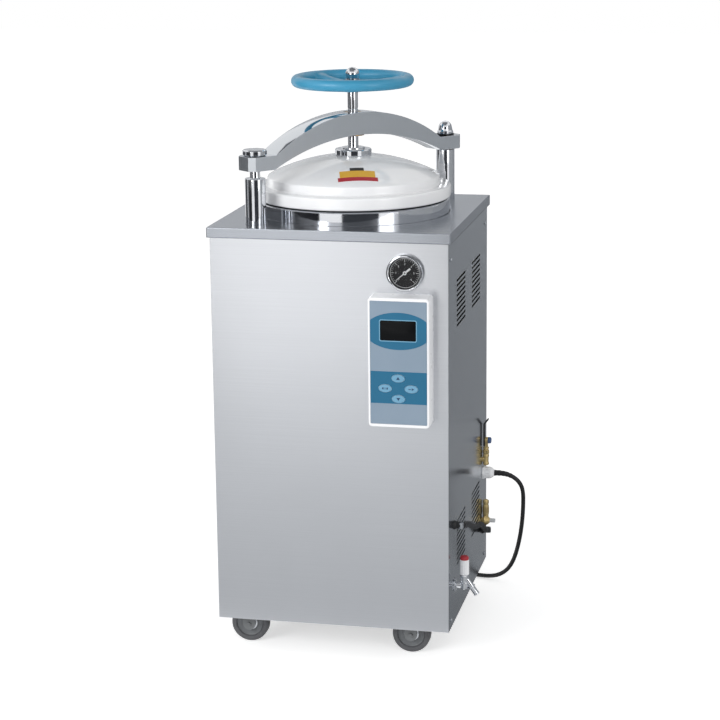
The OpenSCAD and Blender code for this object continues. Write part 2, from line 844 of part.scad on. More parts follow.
// Slotted basket that holds the load
module basket() {
  base = chamber_floor + plate_rise + plate_sheet;
  color(steel_c) difference() {
    translate([0, 0, base]) {
      rotate_extrude($fn = fine_fn) polygon([
        [0, 0], [basket_r, 0], [basket_r, basket_h], [basket_r - basket_t, basket_h],
        [basket_r - basket_t, basket_t], [0, basket_t]]);
      translate([0, 0, basket_h]) rotate_extrude($fn = fine_fn)
        translate([basket_r - basket_t / 2, 0]) circle(r = basket_rim_r, $fn = small_fn);
    }
    for (row = [0, 1], i = [0 : basket_slots / 2 - 1]) rotate([0, 0, 360 * i / basket_slots])
      translate([-basket_r - over, -basket_slot_w / 2,
          base + basket_slot_low + row * basket_slot_step])
        cube([2 * (basket_r + over), basket_slot_w, basket_slot_h]);
    for (r = basket_floor_holes) {
      n = floor(2 * PI * r / plate_step);
      for (i = [0 : n - 1]) rotate([0, 0, 360 * i / n]) translate([r, 0, base - over])
        cylinder(r = plate_hole_r, h = basket_t + 2 * over, $fn = small_fn);
    }
  }
}

// Front post: a column on the vessel's lug and a stud that the yoke's slot closes on
module front_post() {
  color(chrome_c) at_post(-1) {
    translate([0, 0, lug_top - lug_h - lower_stud_h])
      cylinder(r = lower_stud_r, h = lug_h + lower_stud_h + over, $fn = small_fn);
    translate([0, 0, lug_top]) cylinder(r = front_post_d / 2, h = front_col_top - lug_top);
    translate([0, 0, front_col_top - over])
      cylinder(r = stud_r, h = head_z + head_h - head_cover - front_col_top + over);
  }
}

// Round clamping head on the front post
module clamp_head() {
  color(chrome_c) at_post(-1) translate([0, 0, head_z]) difference() {
    cylinder(r = head_r, h = head_h);
    translate([0, 0, -over]) cylinder(r = stud_r + fit, h = head_h - head_cover + over + fit);
  }
}

// Rear post: the column, the journal that the yoke turns on and the thread of its nut
module rear_post() {
  journal_top = yoke_end_top + 2 * gap;
  color(chrome_c) at_post(1) {
    translate([0, 0, lug_top - lug_h - lower_stud_h])
      cylinder(r = lower_stud_r, h = lug_h + lower_stud_h + over, $fn = small_fn);
    translate([0, 0, lug_top]) cylinder(r = rear_post_d / 2, h = rear_col_top - lug_top);
    translate([0, 0, rear_col_top - over])
      cylinder(r = journal_r, h = journal_top - rear_col_top + over);
    translate([0, 0, journal_top - over])
      cylinder(r = pivot_thread_r, h = washer_t + pivot_thread_h + over);
  }
}

// Washer and domed nut on the rear post
module pivot_nut() {
  color(chrome_c) at_post(1) translate([0, 0, yoke_end_top + 2 * gap]) difference() {
    union() {
      cylinder(r = washer_r, h = washer_t);
      translate([0, 0, washer_t]) cylinder(r = nut_r, h = nut_skirt);
      translate([0, 0, washer_t + nut_skirt]) intersection() {
        cylinder(r = acorn_r, h = acorn_r);
        sphere(r = acorn_r);
      }
    }
    translate([0, 0, -over])
      cylinder(r = pivot_thread_r + fit, h = washer_t + pivot_thread_h + over + fit);
  }
}

// Hexagon nuts that hold the posts under the lugs
module lug_nuts() {
  color(dark_steel_c) for (end = [-1, 1]) at_post(end)
    translate([0, 0, lug_top - lug_h - hex_h]) difference() {
      cylinder(r = hex_r, h = hex_h, $fn = 6);
      translate([0, 0, -over]) cylinder(r = lower_stud_r + fit, h = hex_h + 2 * over, $fn = small_fn);
    }
}

// The yoke's side outline, with X along its length and Y up from the deck
module yoke_outline() {
  difference() {
    union() {
      translate([-yoke_half, yoke_end_z]) square([2 * yoke_half, yoke_end_t]);
      intersection() {
        translate([0, yoke_mid_z + yoke_mid_t - arch_out_r]) circle(r = arch_out_r, $fn = fine_fn);
        translate([-yoke_half, yoke_end_z]) square([2 * yoke_half, yoke_mid_z + yoke_mid_t]);
      }
    }
    translate([0, yoke_mid_z - arch_in_r]) circle(r = arch_in_r, $fn = fine_fn);
  }
}

// Arched bar with chamfered ends, a bore at the pivot, a hole for the nut and an open slot
module yoke_bar() {
  half_w = yoke_w / 2;
  end = yoke_half;
  color("#a9adb2") rotate([0, 0, yoke_angle]) translate([0, 0, deck_z]) difference() {
    intersection() {
      translate([0, half_w, 0]) rotate([90, 0, 0]) linear_extrude(yoke_w) yoke_outline();
      linear_extrude(yoke_mid_z + yoke_mid_t + over) polygon([
        [-end, -half_w + yoke_chamfer], [-end + yoke_chamfer, -half_w],
        [end - yoke_chamfer, -half_w], [end, -half_w + yoke_chamfer],
        [end, half_w - yoke_chamfer], [end - yoke_chamfer, half_w],
        [-end + yoke_chamfer, half_w], [-end, half_w - yoke_chamfer]]);
    }
    translate([post_radius, 0, yoke_end_z - over])
      cylinder(r = journal_r + bush_wall + fit, h = yoke_end_t + 2 * over);
    translate([0, 0, yoke_mid_z - over])
      cylinder(r = nut_body_r + fit, h = yoke_mid_t + 2 * over);
    translate([0, 0, yoke_mid_z - over]) cylinder(r = nut_flange_r + over, h = nut_seat + over);
    translate([-post_radius, 0, yoke_end_z - over]) {
      cylinder(r = slot_w / 2, h = yoke_end_t + 2 * over);
      translate([-slot_w / 2, 0, 0]) cube([slot_w, half_w + over, yoke_end_t + 2 * over]);
    }
  }
}

// Flanged bronze bush that turns on the rear post
module pivot_bush() {
  color(brass_c) at_post(1) difference() {
    union() {
      translate([0, 0, yoke_under - bush_flange_t])
        cylinder(r = journal_r + bush_wall, h = yoke_end_t + bush_flange_t);
      translate([0, 0, yoke_under - bush_flange_t]) cylinder(r = bush_flange_r, h = bush_flange_t);
    }
    translate([0, 0, yoke_under - bush_flange_t - over])
      cylinder(r = journal_r + fit, h = yoke_end_t + bush_flange_t + 2 * over);
  }
}

// Flanged bronze nut in the middle of the yoke
module spindle_nut() {
  color(brass_c) translate([0, 0, deck_z + yoke_mid_z + nut_seat - nut_flange_t]) difference() {
    union() {
      cylinder(r = nut_flange_r, h = nut_flange_t);
      cylinder(r = nut_body_r, h = nut_flange_t + yoke_mid_t - nut_seat - over);
    }
    translate([0, 0, -over])
      cylinder(r = spindle_d / 2 + fit, h = nut_flange_t + yoke_mid_t + 2 * over);
  }
}

// Points of an arc about the axis, from one radius to another, on a sphere
function dome_arc(r, centre, from, to, steps) = [for (i = [0 : steps])
  let (a = asin(from / r) + (asin(to / r) - asin(from / r)) * i / steps)
  [r * sin(a), centre + r * cos(a)]];

// Domed lid: a rim, an upright wall and a dome with a flat pad, hollow below
module lid_shell() {
  inner_dome_r = dome_r - lid_plate_t;
  inner_r2 = cavity_r2 - lid_plate_t / 2;
  color(enamel_c) difference() {
    rotate_extrude($fn = fine_fn) polygon(concat(
      [[0, pad_z], [pad_r, pad_z]],
      dome_arc(dome_r, dome_centre, pad_r, wall_r, 16),
      [[wall_r, rim_top + lid_round], [wall_r + lid_round, rim_top],
        [rim_r - lid_round, rim_top], [rim_r, rim_top - lid_round],
        [rim_r, lid_base], [cavity_r, lid_base], [cavity_r, cavity_wall_top]],
      dome_arc(inner_dome_r, dome_centre, inner_r2, 0, 16)));
    translate([0, 0, lid_base - over])
      ring(seal_in_r + seal_w, seal_in_r, seal_deep + over);
  }
}

// Rubber sealing ring in the lid's groove
module lid_seal() {
  color(black_c) translate([0, 0, seal_z])
    ring(seal_in_r + seal_w - fit, seal_in_r + fit, lid_base + seal_deep - seal_z);
}

// Round boss on the lid, with a pocket for the spindle's foot and a collar that keeps it in
module lid_boss() {
  color(chrome_c) difference() {
    union() {
      translate([0, 0, pad_z]) cylinder(r = boss_r, h = boss_h);
      translate([0, 0, boss_top - over]) cylinder(r = collar_r, h = collar_h + over);
    }
    translate([0, 0, boss_top - pocket_deep]) cylinder(r = pocket_r, h = pocket_deep);
    translate([0, 0, boss_top - over])
      cylinder(r = spindle_d / 2 + fit, h = collar_h + 2 * over);
  }
}

// Screw spindle with its foot in the boss and a neck in the handwheel
module spindle() {
  color(chrome_c) {
    translate([0, 0, foot_z]) cylinder(r = foot_r, h = foot_h - gap);
    translate([0, 0, foot_z]) cylinder(r = spindle_d / 2, h = hub_top - hub_h - foot_z);
    translate([0, 0, hub_top - hub_h - over])
      cylinder(r = spindle_neck_r, h = hub_h + over + wheel_washer_t + spindle_neck_h);
  }
}

// Handwheel: a round rim, a dished hub and tapered spokes
module handwheel() {
  color(teal_c) difference() {
    union() {
      translate([0, 0, wheel_mid]) rotate_extrude($fn = fine_fn)
        translate([wheel_ring_r, 0]) circle(r = wheel_tube_r, $fn = small_fn);
      translate([0, 0, hub_top - hub_h]) cylinder(r = hub_r, h = hub_h);
      for (i = [0 : spoke_count - 1]) rotate([0, 0, spoke_turn + 360 * i / spoke_count]) {
        hub_mid = hub_top - hub_h / 2;
        run = wheel_ring_r - hub_r / 2;
        translate([hub_r / 2, 0, hub_mid]) rotate([0, atan2(run, wheel_mid - hub_mid), 0])
          cylinder(r1 = spoke_r_in, r2 = spoke_r_out, h = norm([run, wheel_mid - hub_mid]),
            $fn = small_fn);
      }
    }
    translate([0, 0, hub_top - hub_h - over])
      cylinder(r = spindle_neck_r + fit, h = hub_h + 2 * over, $fn = small_fn);
    translate([0, 0, hub_top]) cylinder(r = wheel_washer_r + over, h = spoke_r_in);
  }
}

// Washer and domed nut on top of the handwheel
module wheel_nut() {
  color(chrome_c) translate([0, 0, hub_top]) difference() {
    union() {
      cylinder(r = wheel_washer_r, h = wheel_washer_t);
      cylinder(r = cap_r, h = wheel_washer_t + cap_h);
      translate([0, 0, wheel_washer_t + cap_h]) intersection() {
        cylinder(r = cap_r, h = cap_r);
        sphere(r = cap_r);
      }
    }
    translate([0, 0, -over])
      cylinder(r = spindle_neck_r + fit, h = wheel_washer_t + spindle_neck_h + over + fit, $fn = small_fn);
  }
}

// Gauge case, a cup that passes through the front panel
module gauge_case() {
  color(black_c) on_front(gauge_x, gauge_z) {
    difference() {
      translate([0, 0, -case_deep]) cylinder(r = case_r - fit, h = case_deep + dial_out);
      translate([0, 0, case_wall - case_deep]) cylinder(r = case_r - case_wall, h = case_deep + dial_out);
    }
    translate([0, 0, -case_deep - stem_len]) cylinder(r = stem_r, h = stem_len + over, $fn = small_fn);
  }
}

module gauge_bezel() {
  color(chrome_c) on_front(gauge_x, gauge_z) difference() {
    cylinder(r = gauge_r, h = bezel_h);
    translate([0, 0, -over]) cylinder(r = case_r, h = dial_out + over);
    cylinder(r = bezel_in_r, h = bezel_h + over);
  }
}

// Dial with the short post that the needle turns on
module gauge_dial() {
  color("#1b1c1e") on_front(gauge_x, gauge_z) {
    translate([0, 0, dial_out]) cylinder(r = dial_r, h = dial_t);
    translate([0, 0, dial_out])
      cylinder(r = pivot_r, h = needle_out + needle_t + gap - dial_out, $fn = small_fn);
  }
}

module gauge_needle() {
  color(white_c) on_front(gauge_x, gauge_z) rotate([0, 0, needle_rest])
    translate([0, 0, needle_out]) difference() {
      union() {
        cylinder(r = needle_hub_r, h = needle_t, $fn = small_fn);
        linear_extrude(needle_t) polygon([[-needle_w / 2, -needle_tail],
          [needle_w / 2, -needle_tail], [needle_w / 4, needle_len], [-needle_w / 4, needle_len]]);
      }
      translate([0, 0, -over])
        cylinder(r = pivot_r + fit, h = needle_t + 2 * over, $fn = small_fn);
    }
}

module gauge_glass() {
  color("#dfe9ee") on_front(gauge_x, gauge_z) translate([0, 0, glass_out])
    cylinder(r = bezel_in_r - fit, h = glass_t);
}

// Control box: a shallow tray with its open side on the front panel
module control_housing() {
  color(white_c) on_front(box_x, box_z) difference() {
    union() {
      difference() {
        linear_extrude(box_d) round_rect(box_w, box_h, box_round);
        translate([0, 0, -over]) linear_extrude(box_d - box_wall + over)
          round_rect(box_w - 2 * box_wall, box_h - 2 * box_wall, box_round - box_wall);
      }
      for (x = [-1, 1], y = [-1, 1])
        translate([x * board_share * box_w / 2 - x * 2 * standoff_r,
            y * board_share * box_h / 2 - y * 2 * standoff_r, box_d - box_wall - standoff_h])
          cylinder(r = standoff_r, h = standoff_h + over, $fn = small_fn);
    }
  }
}

// Circuit board on the tray's four standoffs
module control_board() {
  color("#2f6b46") on_front(box_x, box_z)
    translate([-board_share * box_w / 2, -board_share * box_h / 2,
        box_d - box_wall - standoff_h - board_t])
      cube([board_share * box_w, board_share * box_h, board_t]);
}

// Place of a share of the membrane, from its lower left corner
function on_membrane(share) = [(share[0] - 1 / 2) * membrane_w, (share[1] - 1 / 2) * membrane_h];

key_shares = [key_up_share, key_left_share, key_right_share, key_down_share];

// Printed front sheet with four holes for the keys
module control_membrane() {
  color("#8c9eaf") on_front(box_x, box_z) translate([0, 0, box_d]) difference() {
    linear_extrude(membrane_t) round_rect(membrane_w, membrane_h, membrane_round);
    for (share = key_shares) translate([0, 0, -over]) linear_extrude(membrane_t + 2 * over)
      translate(on_membrane(share))
        key_outline(key_a_share * membrane_w + key_gap, key_b_share * membrane_h + key_gap);
  }
}

module display_window() {
  color("#15171a") on_front(box_x, box_z) translate([0, 0, box_d + membrane_t])
    linear_extrude(window_t) translate(on_membrane(window_share))
      round_rect(window_w_share * membrane_w, window_h_share * membrane_h, membrane_round / 2);
}

module key(share) {
  color("#78aac8") on_front(box_x, box_z) translate([0, 0, box_d + key_back])
    linear_extrude(key_t) translate(on_membrane(share))
      key_outline(key_a_share * membrane_w, key_b_share * membrane_h);
}

module key_up() { key(key_up_share); }
module key_left() { key(key_left_share); }
module key_right() { key(key_right_share); }
module key_down() { key(key_down_share); }

// Drain tap: a nipple through the panel, an upright body and a spout that points down and out
module drain_tap_body() {
  color(chrome_c) on_right(-tap_y, tap_z) {
    rotate([0, -90, 0]) translate([tap_out, 0, 0]) difference() {
      union() {
        translate([0, 0, -tap_below]) cylinder(r = tap_body_r, h = tap_below + tap_above);
        translate([0, 0, tap_above - over])
          cylinder(r = tap_stem_r, h = knob_h / 2 + over, $fn = small_fn);
        translate([tap_spout_at[0], 0, tap_spout_at[1]]) rotate([0, tap_spout_tilt, 0]) {
          cylinder(r = tap_spout_r, h = tap_spout_len, $fn = small_fn);
          translate([0, 0, tap_stop_at]) cylinder(r = tap_stop_r, h = tap_stop_t, $fn = small_fn);
        }
      }
      translate([tap_spout_at[0], 0, tap_spout_at[1]]) rotate([0, tap_spout_tilt, 0])
        translate([0, 0, tap_body_r])
          cylinder(r = tap_spout_r - tap_spout_wall, h = tap_spout_len, $fn = small_fn);
    }
    translate([0, 0, -sheet_t - tap_rose_t])
      cylinder(r = tap_nipple_r, h = tap_out + sheet_t + tap_rose_t, $fn = small_fn);
    cylinder(r = tap_rose_r, h = tap_rose_t);
  }
}

// Grooved knob of the drain tap with its coloured cap
module drain_tap_knob() {
  base = tap_z + tap_above + gap;
  color(white_c) translate([panel_x + tap_out, -tap_y, base]) difference() {
    union() {
      cylinder(r = knob_r, h = knob_h);
      translate([0, 0, knob_h]) cylinder(r = knob_cap_r, h = knob_cap_h);
    }
    for (i = [0 : knob_grooves - 1]) rotate([0, 0, 360 * i / knob_grooves])
      translate([knob_r + knob_groove_r / 4, 0, knob_cap_h])
        cylinder(r = knob_groove_r, h = knob_h - 2 * knob_cap_h, $fn = small_fn);
    translate([0, 0, -over])
      cylinder(r = tap_stem_r + fit, h = knob_h / 2 + over + fit, $fn = small_fn);
  }
}

// Drain pipe from the vessel's floor to the tap, and exhaust pipe from its wall to the valves
module inner_pipes() {
  end_x = inner_x - tap_rose_t;
  reach = vessel_r + boss_out;
  color(dark_steel_c) {
    pipe([[0, 0, vessel_base + vessel_base_t / 2], [0, 0, tap_z],
      [drain_knee_x, -tap_y, tap_z], [end_x, -tap_y, tap_z]], drain_r);
    pipe([[manifold_toward[0] * reach, manifold_toward[1] * reach, manifold_z],
      [manifold_x, valve_y, manifold_z], [manifold_x, valve_y, safety_z],
      [end_x, valve_y, safety_z]], manifold_r);
    pipe([[manifold_x, valve_y, safety_z], [manifold_x, valve_y, hose_z],
      [barb_x, valve_y, hose_z], hose_low_end], nipple_r);
    pipe([[drain_knee_x, -tap_y, tap_z], [drain_knee_x, -tap_y, port_z],
      [barb_x, -tap_y, port_z], hose_high_end], nipple_r);
    rod([manifold_x, valve_y, exhaust_z], [end_x, valve_y, exhaust_z], manifold_r);
    translate([manifold_x, valve_y, exhaust_z - manifold_r - elbow_wall])
      cylinder(r = manifold_r + elbow_wall, h = 2 * (manifold_r + elbow_wall), $fn = small_fn);
    pipe([[gauge_toward[0] * reach, gauge_toward[1] * reach, gauge_z],
      [gauge_knee[0], gauge_knee[1], gauge_z],
      [gauge_x, front_y + case_deep + stem_len, gauge_z]], gauge_pipe_r);
  }
}

// Lever valve: an upright brass body, its nipple and a flat tongue that carries the lever's pin
module exhaust_valve_body() {
  color(brass_c) on_right(valve_y, exhaust_z) difference() {
    union() {
      translate([0, 0, -sheet_t - tap_rose_t])
        cylinder(r = exhaust_nipple_r, h = valve_out + sheet_t + tap_rose_t, $fn = small_fn);
      rotate([0, -90, 0]) translate([valve_out, 0, -exhaust_low])
        cylinder(r = exhaust_r, h = exhaust_low + exhaust_up);
      rotate([0, -90, 0]) translate([tongue_out, -tongue_w / 2, exhaust_up - over])
        cube([tongue_t, tongue_w, exhaust_stem_up - exhaust_up + over]);
      translate([-exhaust_stem_up, 0, tongue_out]) cylinder(r = tongue_r, h = tongue_t, $fn = small_fn);
    }
    translate([-exhaust_stem_up, 0, tongue_out - over])
      cylinder(r = lever_pin_r + fit, h = tongue_t + 2 * over, $fn = small_fn);
  }
}

// Lever with a bent tip beside the tongue, its pin through the tongue and a round cap on the pin
module exhaust_lever() {
  plate_out = tongue_out - gap - lever_t;
  cap_out = tongue_out + tongue_t + gap;
  tip = [lever_bend * sin(lever_tilt),
    lever_up + lever_t * tan(lever_tilt / 2) + lever_bend * cos(lever_tilt)];
  color(black_c) translate([panel_x, valve_y, exhaust_z + exhaust_stem_up]) {
    translate([plate_out, lever_w / 2, 0]) rotate([90, 0, 0]) linear_extrude(lever_w) polygon([
      [0, -lever_down], [lever_t, -lever_down], [lever_t, lever_up],
      tip + lever_t * [cos(lever_tilt), -sin(lever_tilt)], tip,
      [0, lever_up + lever_t * tan(lever_tilt / 2)]]);
    translate([plate_out + lever_t / 2, 0, 0]) rotate([0, 90, 0])
      cylinder(r = lever_pin_r, h = cap_out + lever_cap_h / 2 - plate_out - lever_t / 2, $fn = small_fn);
    translate([cap_out, 0, 0]) rotate([0, 90, 0])
      cylinder(r = lever_cap_r, h = lever_cap_h, $fn = small_fn);
  }
}

// Brass safety valve: an upright body with a cone and a pale tip that point outwards
module safety_valve() {
  color(brass_c) on_right(valve_y, safety_z) {
    translate([0, 0, -sheet_t - tap_rose_t])
      cylinder(r = exhaust_nipple_r, h = valve_out + sheet_t + tap_rose_t, $fn = small_fn);
    rotate([0, -90, 0]) translate([valve_out, 0, -safety_down])
      cylinder(r = safety_r, h = safety_down + safety_up);
    translate([0, 0, cone_out]) cylinder(r1 = cone_r, r2 = cone_tip_r, h = cone_h);
    translate([0, 0, cone_out + cone_h - over]) cylinder(r = tip_r, h = tip_h + over, $fn = small_fn);
  }
}

// Direction of the hose's stretch number i
function hose_way(i) = (hose_route[i + 1] - hose_route[i]) / norm(hose_route[i + 1] - hose_route[i]);

// Black rubber hose on the outside of the panel, from the valves' pipe up to the drain's pipe
module return_hose() {
  color(black_c) difference() {
    tube(hose_route, hose_r, hose_sides);
    rod(hose_route[0] - over * hose_way(0), hose_low_end + fit * hose_way(0), nipple_r + fit);
    rod(hose_route[hose_last] + over * hose_way(hose_last - 1),
      hose_high_end - fit * hose_way(hose_last - 1), nipple_r + fit);
  }
}

// White cable gland with its locknut inside the panel
module cable_gland() {
  color(white_c) on_right(valve_y, gland_z) difference() {
    union() {
      translate([0, 0, -gland_thread_h]) cylinder(r = gland_thread_r, h = gland_thread_h + over);
      translate([0, 0, -sheet_t - gland_nut_t]) cylinder(r = gland_nut_r, h = gland_nut_t, $fn = 6);
      cylinder(r = gland_flange_r, h = gland_flange_t, $fn = 6);
      translate([0, 0, gland_flange_t]) cylinder(r = gland_r, h = gland_body_h);
      translate([0, 0, gland_flange_t + gland_body_h])
        cylinder(r1 = gland_r, r2 = gland_cone_r, h = gland_cone_h);
    }
    translate([0, 0, -gland_thread_h - over])
      cylinder(r = cable_r, h = gland_thread_h + gland_flange_t + over, $fn = small_fn);
  }
}

// Unit vector of the route at point i
function heading(p, i) = let (a = p[max(i - 1, 0)], b = p[min(i + 1, len(p) - 1)])
  (b - a) / norm(b - a);

// A ring of points round point i, square to the route, with its first point upwards
function tube_ring(p, i, r, sides) = let (d = heading(p, i),
    side_raw = abs(d[2]) > 0.95 ? cross(d, [1, 0, 0]) : cross(d, [0, 0, 1]),
    side = side_raw / norm(side_raw), up = cross(side, d))
  [for (k = [0 : sides - 1]) let (a = 360 * (k + 1 / 2) / sides)
    p[i] + r * (cos(a) * side + sin(a) * up)];

// One closed tube along a route
module tube(p, r, sides) {
  n = len(p);
  points = [for (i = [0 : n - 1]) each tube_ring(p, i, r, sides)];
  walls = [for (i = [0 : n - 2], k = [0 : sides - 1], half = [0, 1])
    let (a = i * sides + k, b = i * sides + (k + 1) % sides)
    half == 0 ? [a, b, b + sides] : [a, b + sides, a + sides]];
  caps = [for (k = [1 : sides - 2]) each [[0, k + 1, k],
    [(n - 1) * sides, (n - 1) * sides + k, (n - 1) * sides + k + 1]]];
  polyhedron(points = points, faces = concat(walls, caps));
}

// Free stretch of the mains cable
module mains_cable() {
  color(black_c) tube(cable_route, cable_r, cable_sides);
}

// The coil's route: in on the floor, a gentle climb at the inner turn, and out again on top
coil_last = 2 * coil_turns * coil_steps;
function coil_point(i) = let (
    turn = i / coil_steps,
    low_r = coil_out_r - coil_pitch * min(turn, coil_turns),
    grown = max(turn - coil_turns - coil_climb, 0) / (coil_turns - coil_climb),
    share = min(max((turn - coil_turns) / coil_climb, 0), 1),
    climb = share * share * (3 - 2 * share),
    r = low_r + (coil_out_r - coil_in_r) * grown,
    a = -90 - 360 * turn)
  [coil_centre[0] + r * cos(a), coil_centre[1] + r * sin(a), coil_low + climb * coil_pitch];
coil_exit_a = -90 - 360 * (coil_last / coil_steps);
coil_end = coil_point(coil_last);
coil_out_dir = [sin(coil_exit_a), -cos(coil_exit_a), 0];
coil_route = concat(
  [coil_join, coil_join + [-cable_d, 0, 0]],
  [for (i = [1 : coil_last]) coil_point(i)],
  [coil_end + cable_d * coil_out_dir, coil_end + 2 * cable_d * coil_out_dir]);

// Least distance between the middles of stretches that lie at least half a turn apart
coil_gap = min([for (i = [0 : 2 : len(coil_route) - 1])
  for (j = [i + coil_steps / 2 : 1 : len(coil_route) - 1])
    norm(coil_route[i] - coil_route[j])]) - cable_d;
echo(coil_least_gap = coil_gap);

module cable_coil() {
  color(black_c) tube(coil_route, cable_r, coil_sides);
}

// Plug at the coil's end, with three flat pins
module mains_plug() {
  end = coil_route[len(coil_route) - 1];
  color(black_c) translate(end) rotate([0, 0, atan2(coil_out_dir[1], coil_out_dir[0])])
    rotate([0, 90, 0]) {
      cylinder(r1 = cable_r, r2 = plug_neck_r, h = plug_neck, $fn = small_fn);
      translate([0, 0, plug_neck - over]) cylinder(r = plug_neck_r, h = over, $fn = small_fn);
      translate([0, 0, plug_neck])
        cylinder(r1 = plug_neck_r, r2 = plug_r, h = plug_len - plug_face, $fn = small_fn);
      translate([0, 0, plug_neck + plug_len - plug_face])
        cylinder(r = plug_r, h = plug_face, $fn = small_fn);
      for (side = [-1, 1])
        translate([-pin_spread / 2, side * pin_spread, plug_neck + plug_len]) rotate([0, 0, side * 30])
          translate([-pin_w / 2, -pin_t / 2, -over]) cube([pin_w, pin_t, pin_len + over]);
      translate([pin_spread, 0, plug_neck + plug_len])
        translate([-pin_t / 2, -pin_w / 2, -over]) cube([pin_t, pin_w, pin_len + over]);
    }
}

// Castor fork at one corner: crown, cheeks, kingpin and axle; the wheel trails towards -X
module castor_fork(sx, sy) {
  cheek_y = castor_w / 2 + fork_gap;
  color(dark_steel_c) translate([sx * swivel_x, sy * swivel_y, 0]) {
    translate([0, 0, crown_z + crown_t]) cylinder(r = swivel_r, h = swivel_h);
    translate([0, 0, crown_z + crown_t])
      cylinder(r = kingpin_r, h = swivel_h + plate_t + 2 * over, $fn = small_fn);
    translate([-castor_trail - fork_w / 2, -cheek_y - fork_t, crown_z])
      cube([swivel_r + castor_trail + fork_w / 2, 2 * (cheek_y + fork_t), crown_t]);
    for (y = [-1, 1])
      translate([-castor_trail - fork_w / 2, y * (cheek_y + fork_t / 2) - fork_t / 2, wheel_r])
        cube([fork_w, fork_t, crown_z + over - wheel_r]);
    for (y = [-1, 1])
      translate([-castor_trail, y * (cheek_y + fork_t / 2) + fork_t / 2, wheel_r])
        rotate([90, 0, 0]) cylinder(r = fork_w / 2, h = fork_t);
    translate([-castor_trail, cheek_y + fork_t + axle_end, wheel_r]) rotate([90, 0, 0])
      cylinder(r = axle_r, h = 2 * (cheek_y + fork_t + axle_end), $fn = small_fn);
  }
}

// Castor wheel: a rubber tyre on a hub that is wider than the tyre
module castor_wheel(sx, sy) {
  hub_r_in = wheel_r * 0.4;
  hub_w = castor_w + fork_gap;
  tread_round = castor_w / 6;
  color("#4c4e51") translate([sx * swivel_x - castor_trail, sy * swivel_y, wheel_r])
    rotate([90, 0, 0]) difference() {
      union() {
        rotate_extrude() polygon([[0, -castor_w / 2], [wheel_r - tread_round, -castor_w / 2],
          [wheel_r, tread_round - castor_w / 2], [wheel_r, castor_w / 2 - tread_round],
          [wheel_r - tread_round, castor_w / 2], [0, castor_w / 2]]);
        translate([0, 0, -hub_w / 2]) cylinder(r = hub_r_in, h = hub_w);
      }
      translate([0, 0, -hub_w / 2 - over]) cylinder(r = axle_r + fit, h = hub_w + 2 * over, $fn = small_fn);
    }
}

module castor_fork_fl() { castor_fork(-1, -1); }
module castor_fork_fr() { castor_fork(1, -1); }
module castor_fork_bl() { castor_fork(-1, 1); }
module castor_fork_br() { castor_fork(1, 1); }
module castor_wheel_fl() { castor_wheel(-1, -1); }
module castor_wheel_fr() { castor_wheel(1, -1); }
module castor_wheel_bl() { castor_wheel(-1, 1); }
module castor_wheel_br() { castor_wheel(1, 1); }

base_frame();
cross_bars();
cabinet_frame();
front_panel();
left_panel();
right_panel();
back_panel();
deck_cap();
vessel();
insulation();
heater();
heater_plate();
front_post();
clamp_head();
rear_post();
pivot_nut();
lug_nuts();
gauge_case();
gauge_bezel();
gauge_dial();
gauge_glass();
control_housing();
control_membrane();
display_window();
control_board();
drain_tap_body();
inner_pipes();
exhaust_valve_body();
safety_valve();
return_hose();
cable_gland();
mains_cable();
cable_coil();
mains_plug();
cabinet_screws();
yoke_bar();
spindle_nut();
pivot_bush();
lid_shell();
lid_seal();
lid_boss();
spindle();
handwheel();
wheel_nut();
castor_fork_fl();
castor_fork_fr();
castor_fork_bl();
castor_fork_br();
castor_wheel_fl();
castor_wheel_fr();
castor_wheel_bl();
castor_wheel_br();
drain_tap_knob();
exhaust_lever();
gauge_needle();
key_up();
key_left();
key_right();
key_down();
basket();
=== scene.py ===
# %% [markdown]
# # Upright steam steriliser
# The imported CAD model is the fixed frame. Everything here dresses it: pieces that replace a plain
# CAD solid are built with bmesh in the same place, and every surface gets a procedural material.
# Lengths are written in millimetres and turned into metres in one place.

# %%
import json
from math import cos, pi, radians, sin, sqrt, tan

import bmesh
import bpy
from mathutils import Matrix, Vector

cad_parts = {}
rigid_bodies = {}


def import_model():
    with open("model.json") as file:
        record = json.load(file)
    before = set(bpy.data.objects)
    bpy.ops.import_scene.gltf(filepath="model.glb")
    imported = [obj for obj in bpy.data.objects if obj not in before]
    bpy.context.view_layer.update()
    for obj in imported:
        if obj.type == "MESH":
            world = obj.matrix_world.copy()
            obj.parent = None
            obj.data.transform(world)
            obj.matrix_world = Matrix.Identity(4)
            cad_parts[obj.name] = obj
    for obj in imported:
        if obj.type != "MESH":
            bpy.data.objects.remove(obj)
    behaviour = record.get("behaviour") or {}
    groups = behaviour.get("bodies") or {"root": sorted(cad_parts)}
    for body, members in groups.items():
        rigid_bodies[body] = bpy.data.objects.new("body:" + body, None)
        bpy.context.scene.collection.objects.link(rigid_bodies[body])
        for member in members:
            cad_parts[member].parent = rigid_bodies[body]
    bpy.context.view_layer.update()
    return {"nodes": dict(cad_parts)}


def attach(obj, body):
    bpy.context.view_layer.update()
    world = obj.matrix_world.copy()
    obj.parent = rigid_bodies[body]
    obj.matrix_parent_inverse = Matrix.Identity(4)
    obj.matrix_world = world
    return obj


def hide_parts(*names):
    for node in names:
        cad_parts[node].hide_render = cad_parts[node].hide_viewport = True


for old in list(bpy.data.objects):
    bpy.data.objects.remove(old)
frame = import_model()
NODES = frame["nodes"]
MM = 0.001

# %% [markdown]
# ## Sizes
# The same values as the CAD source has, in millimetres.

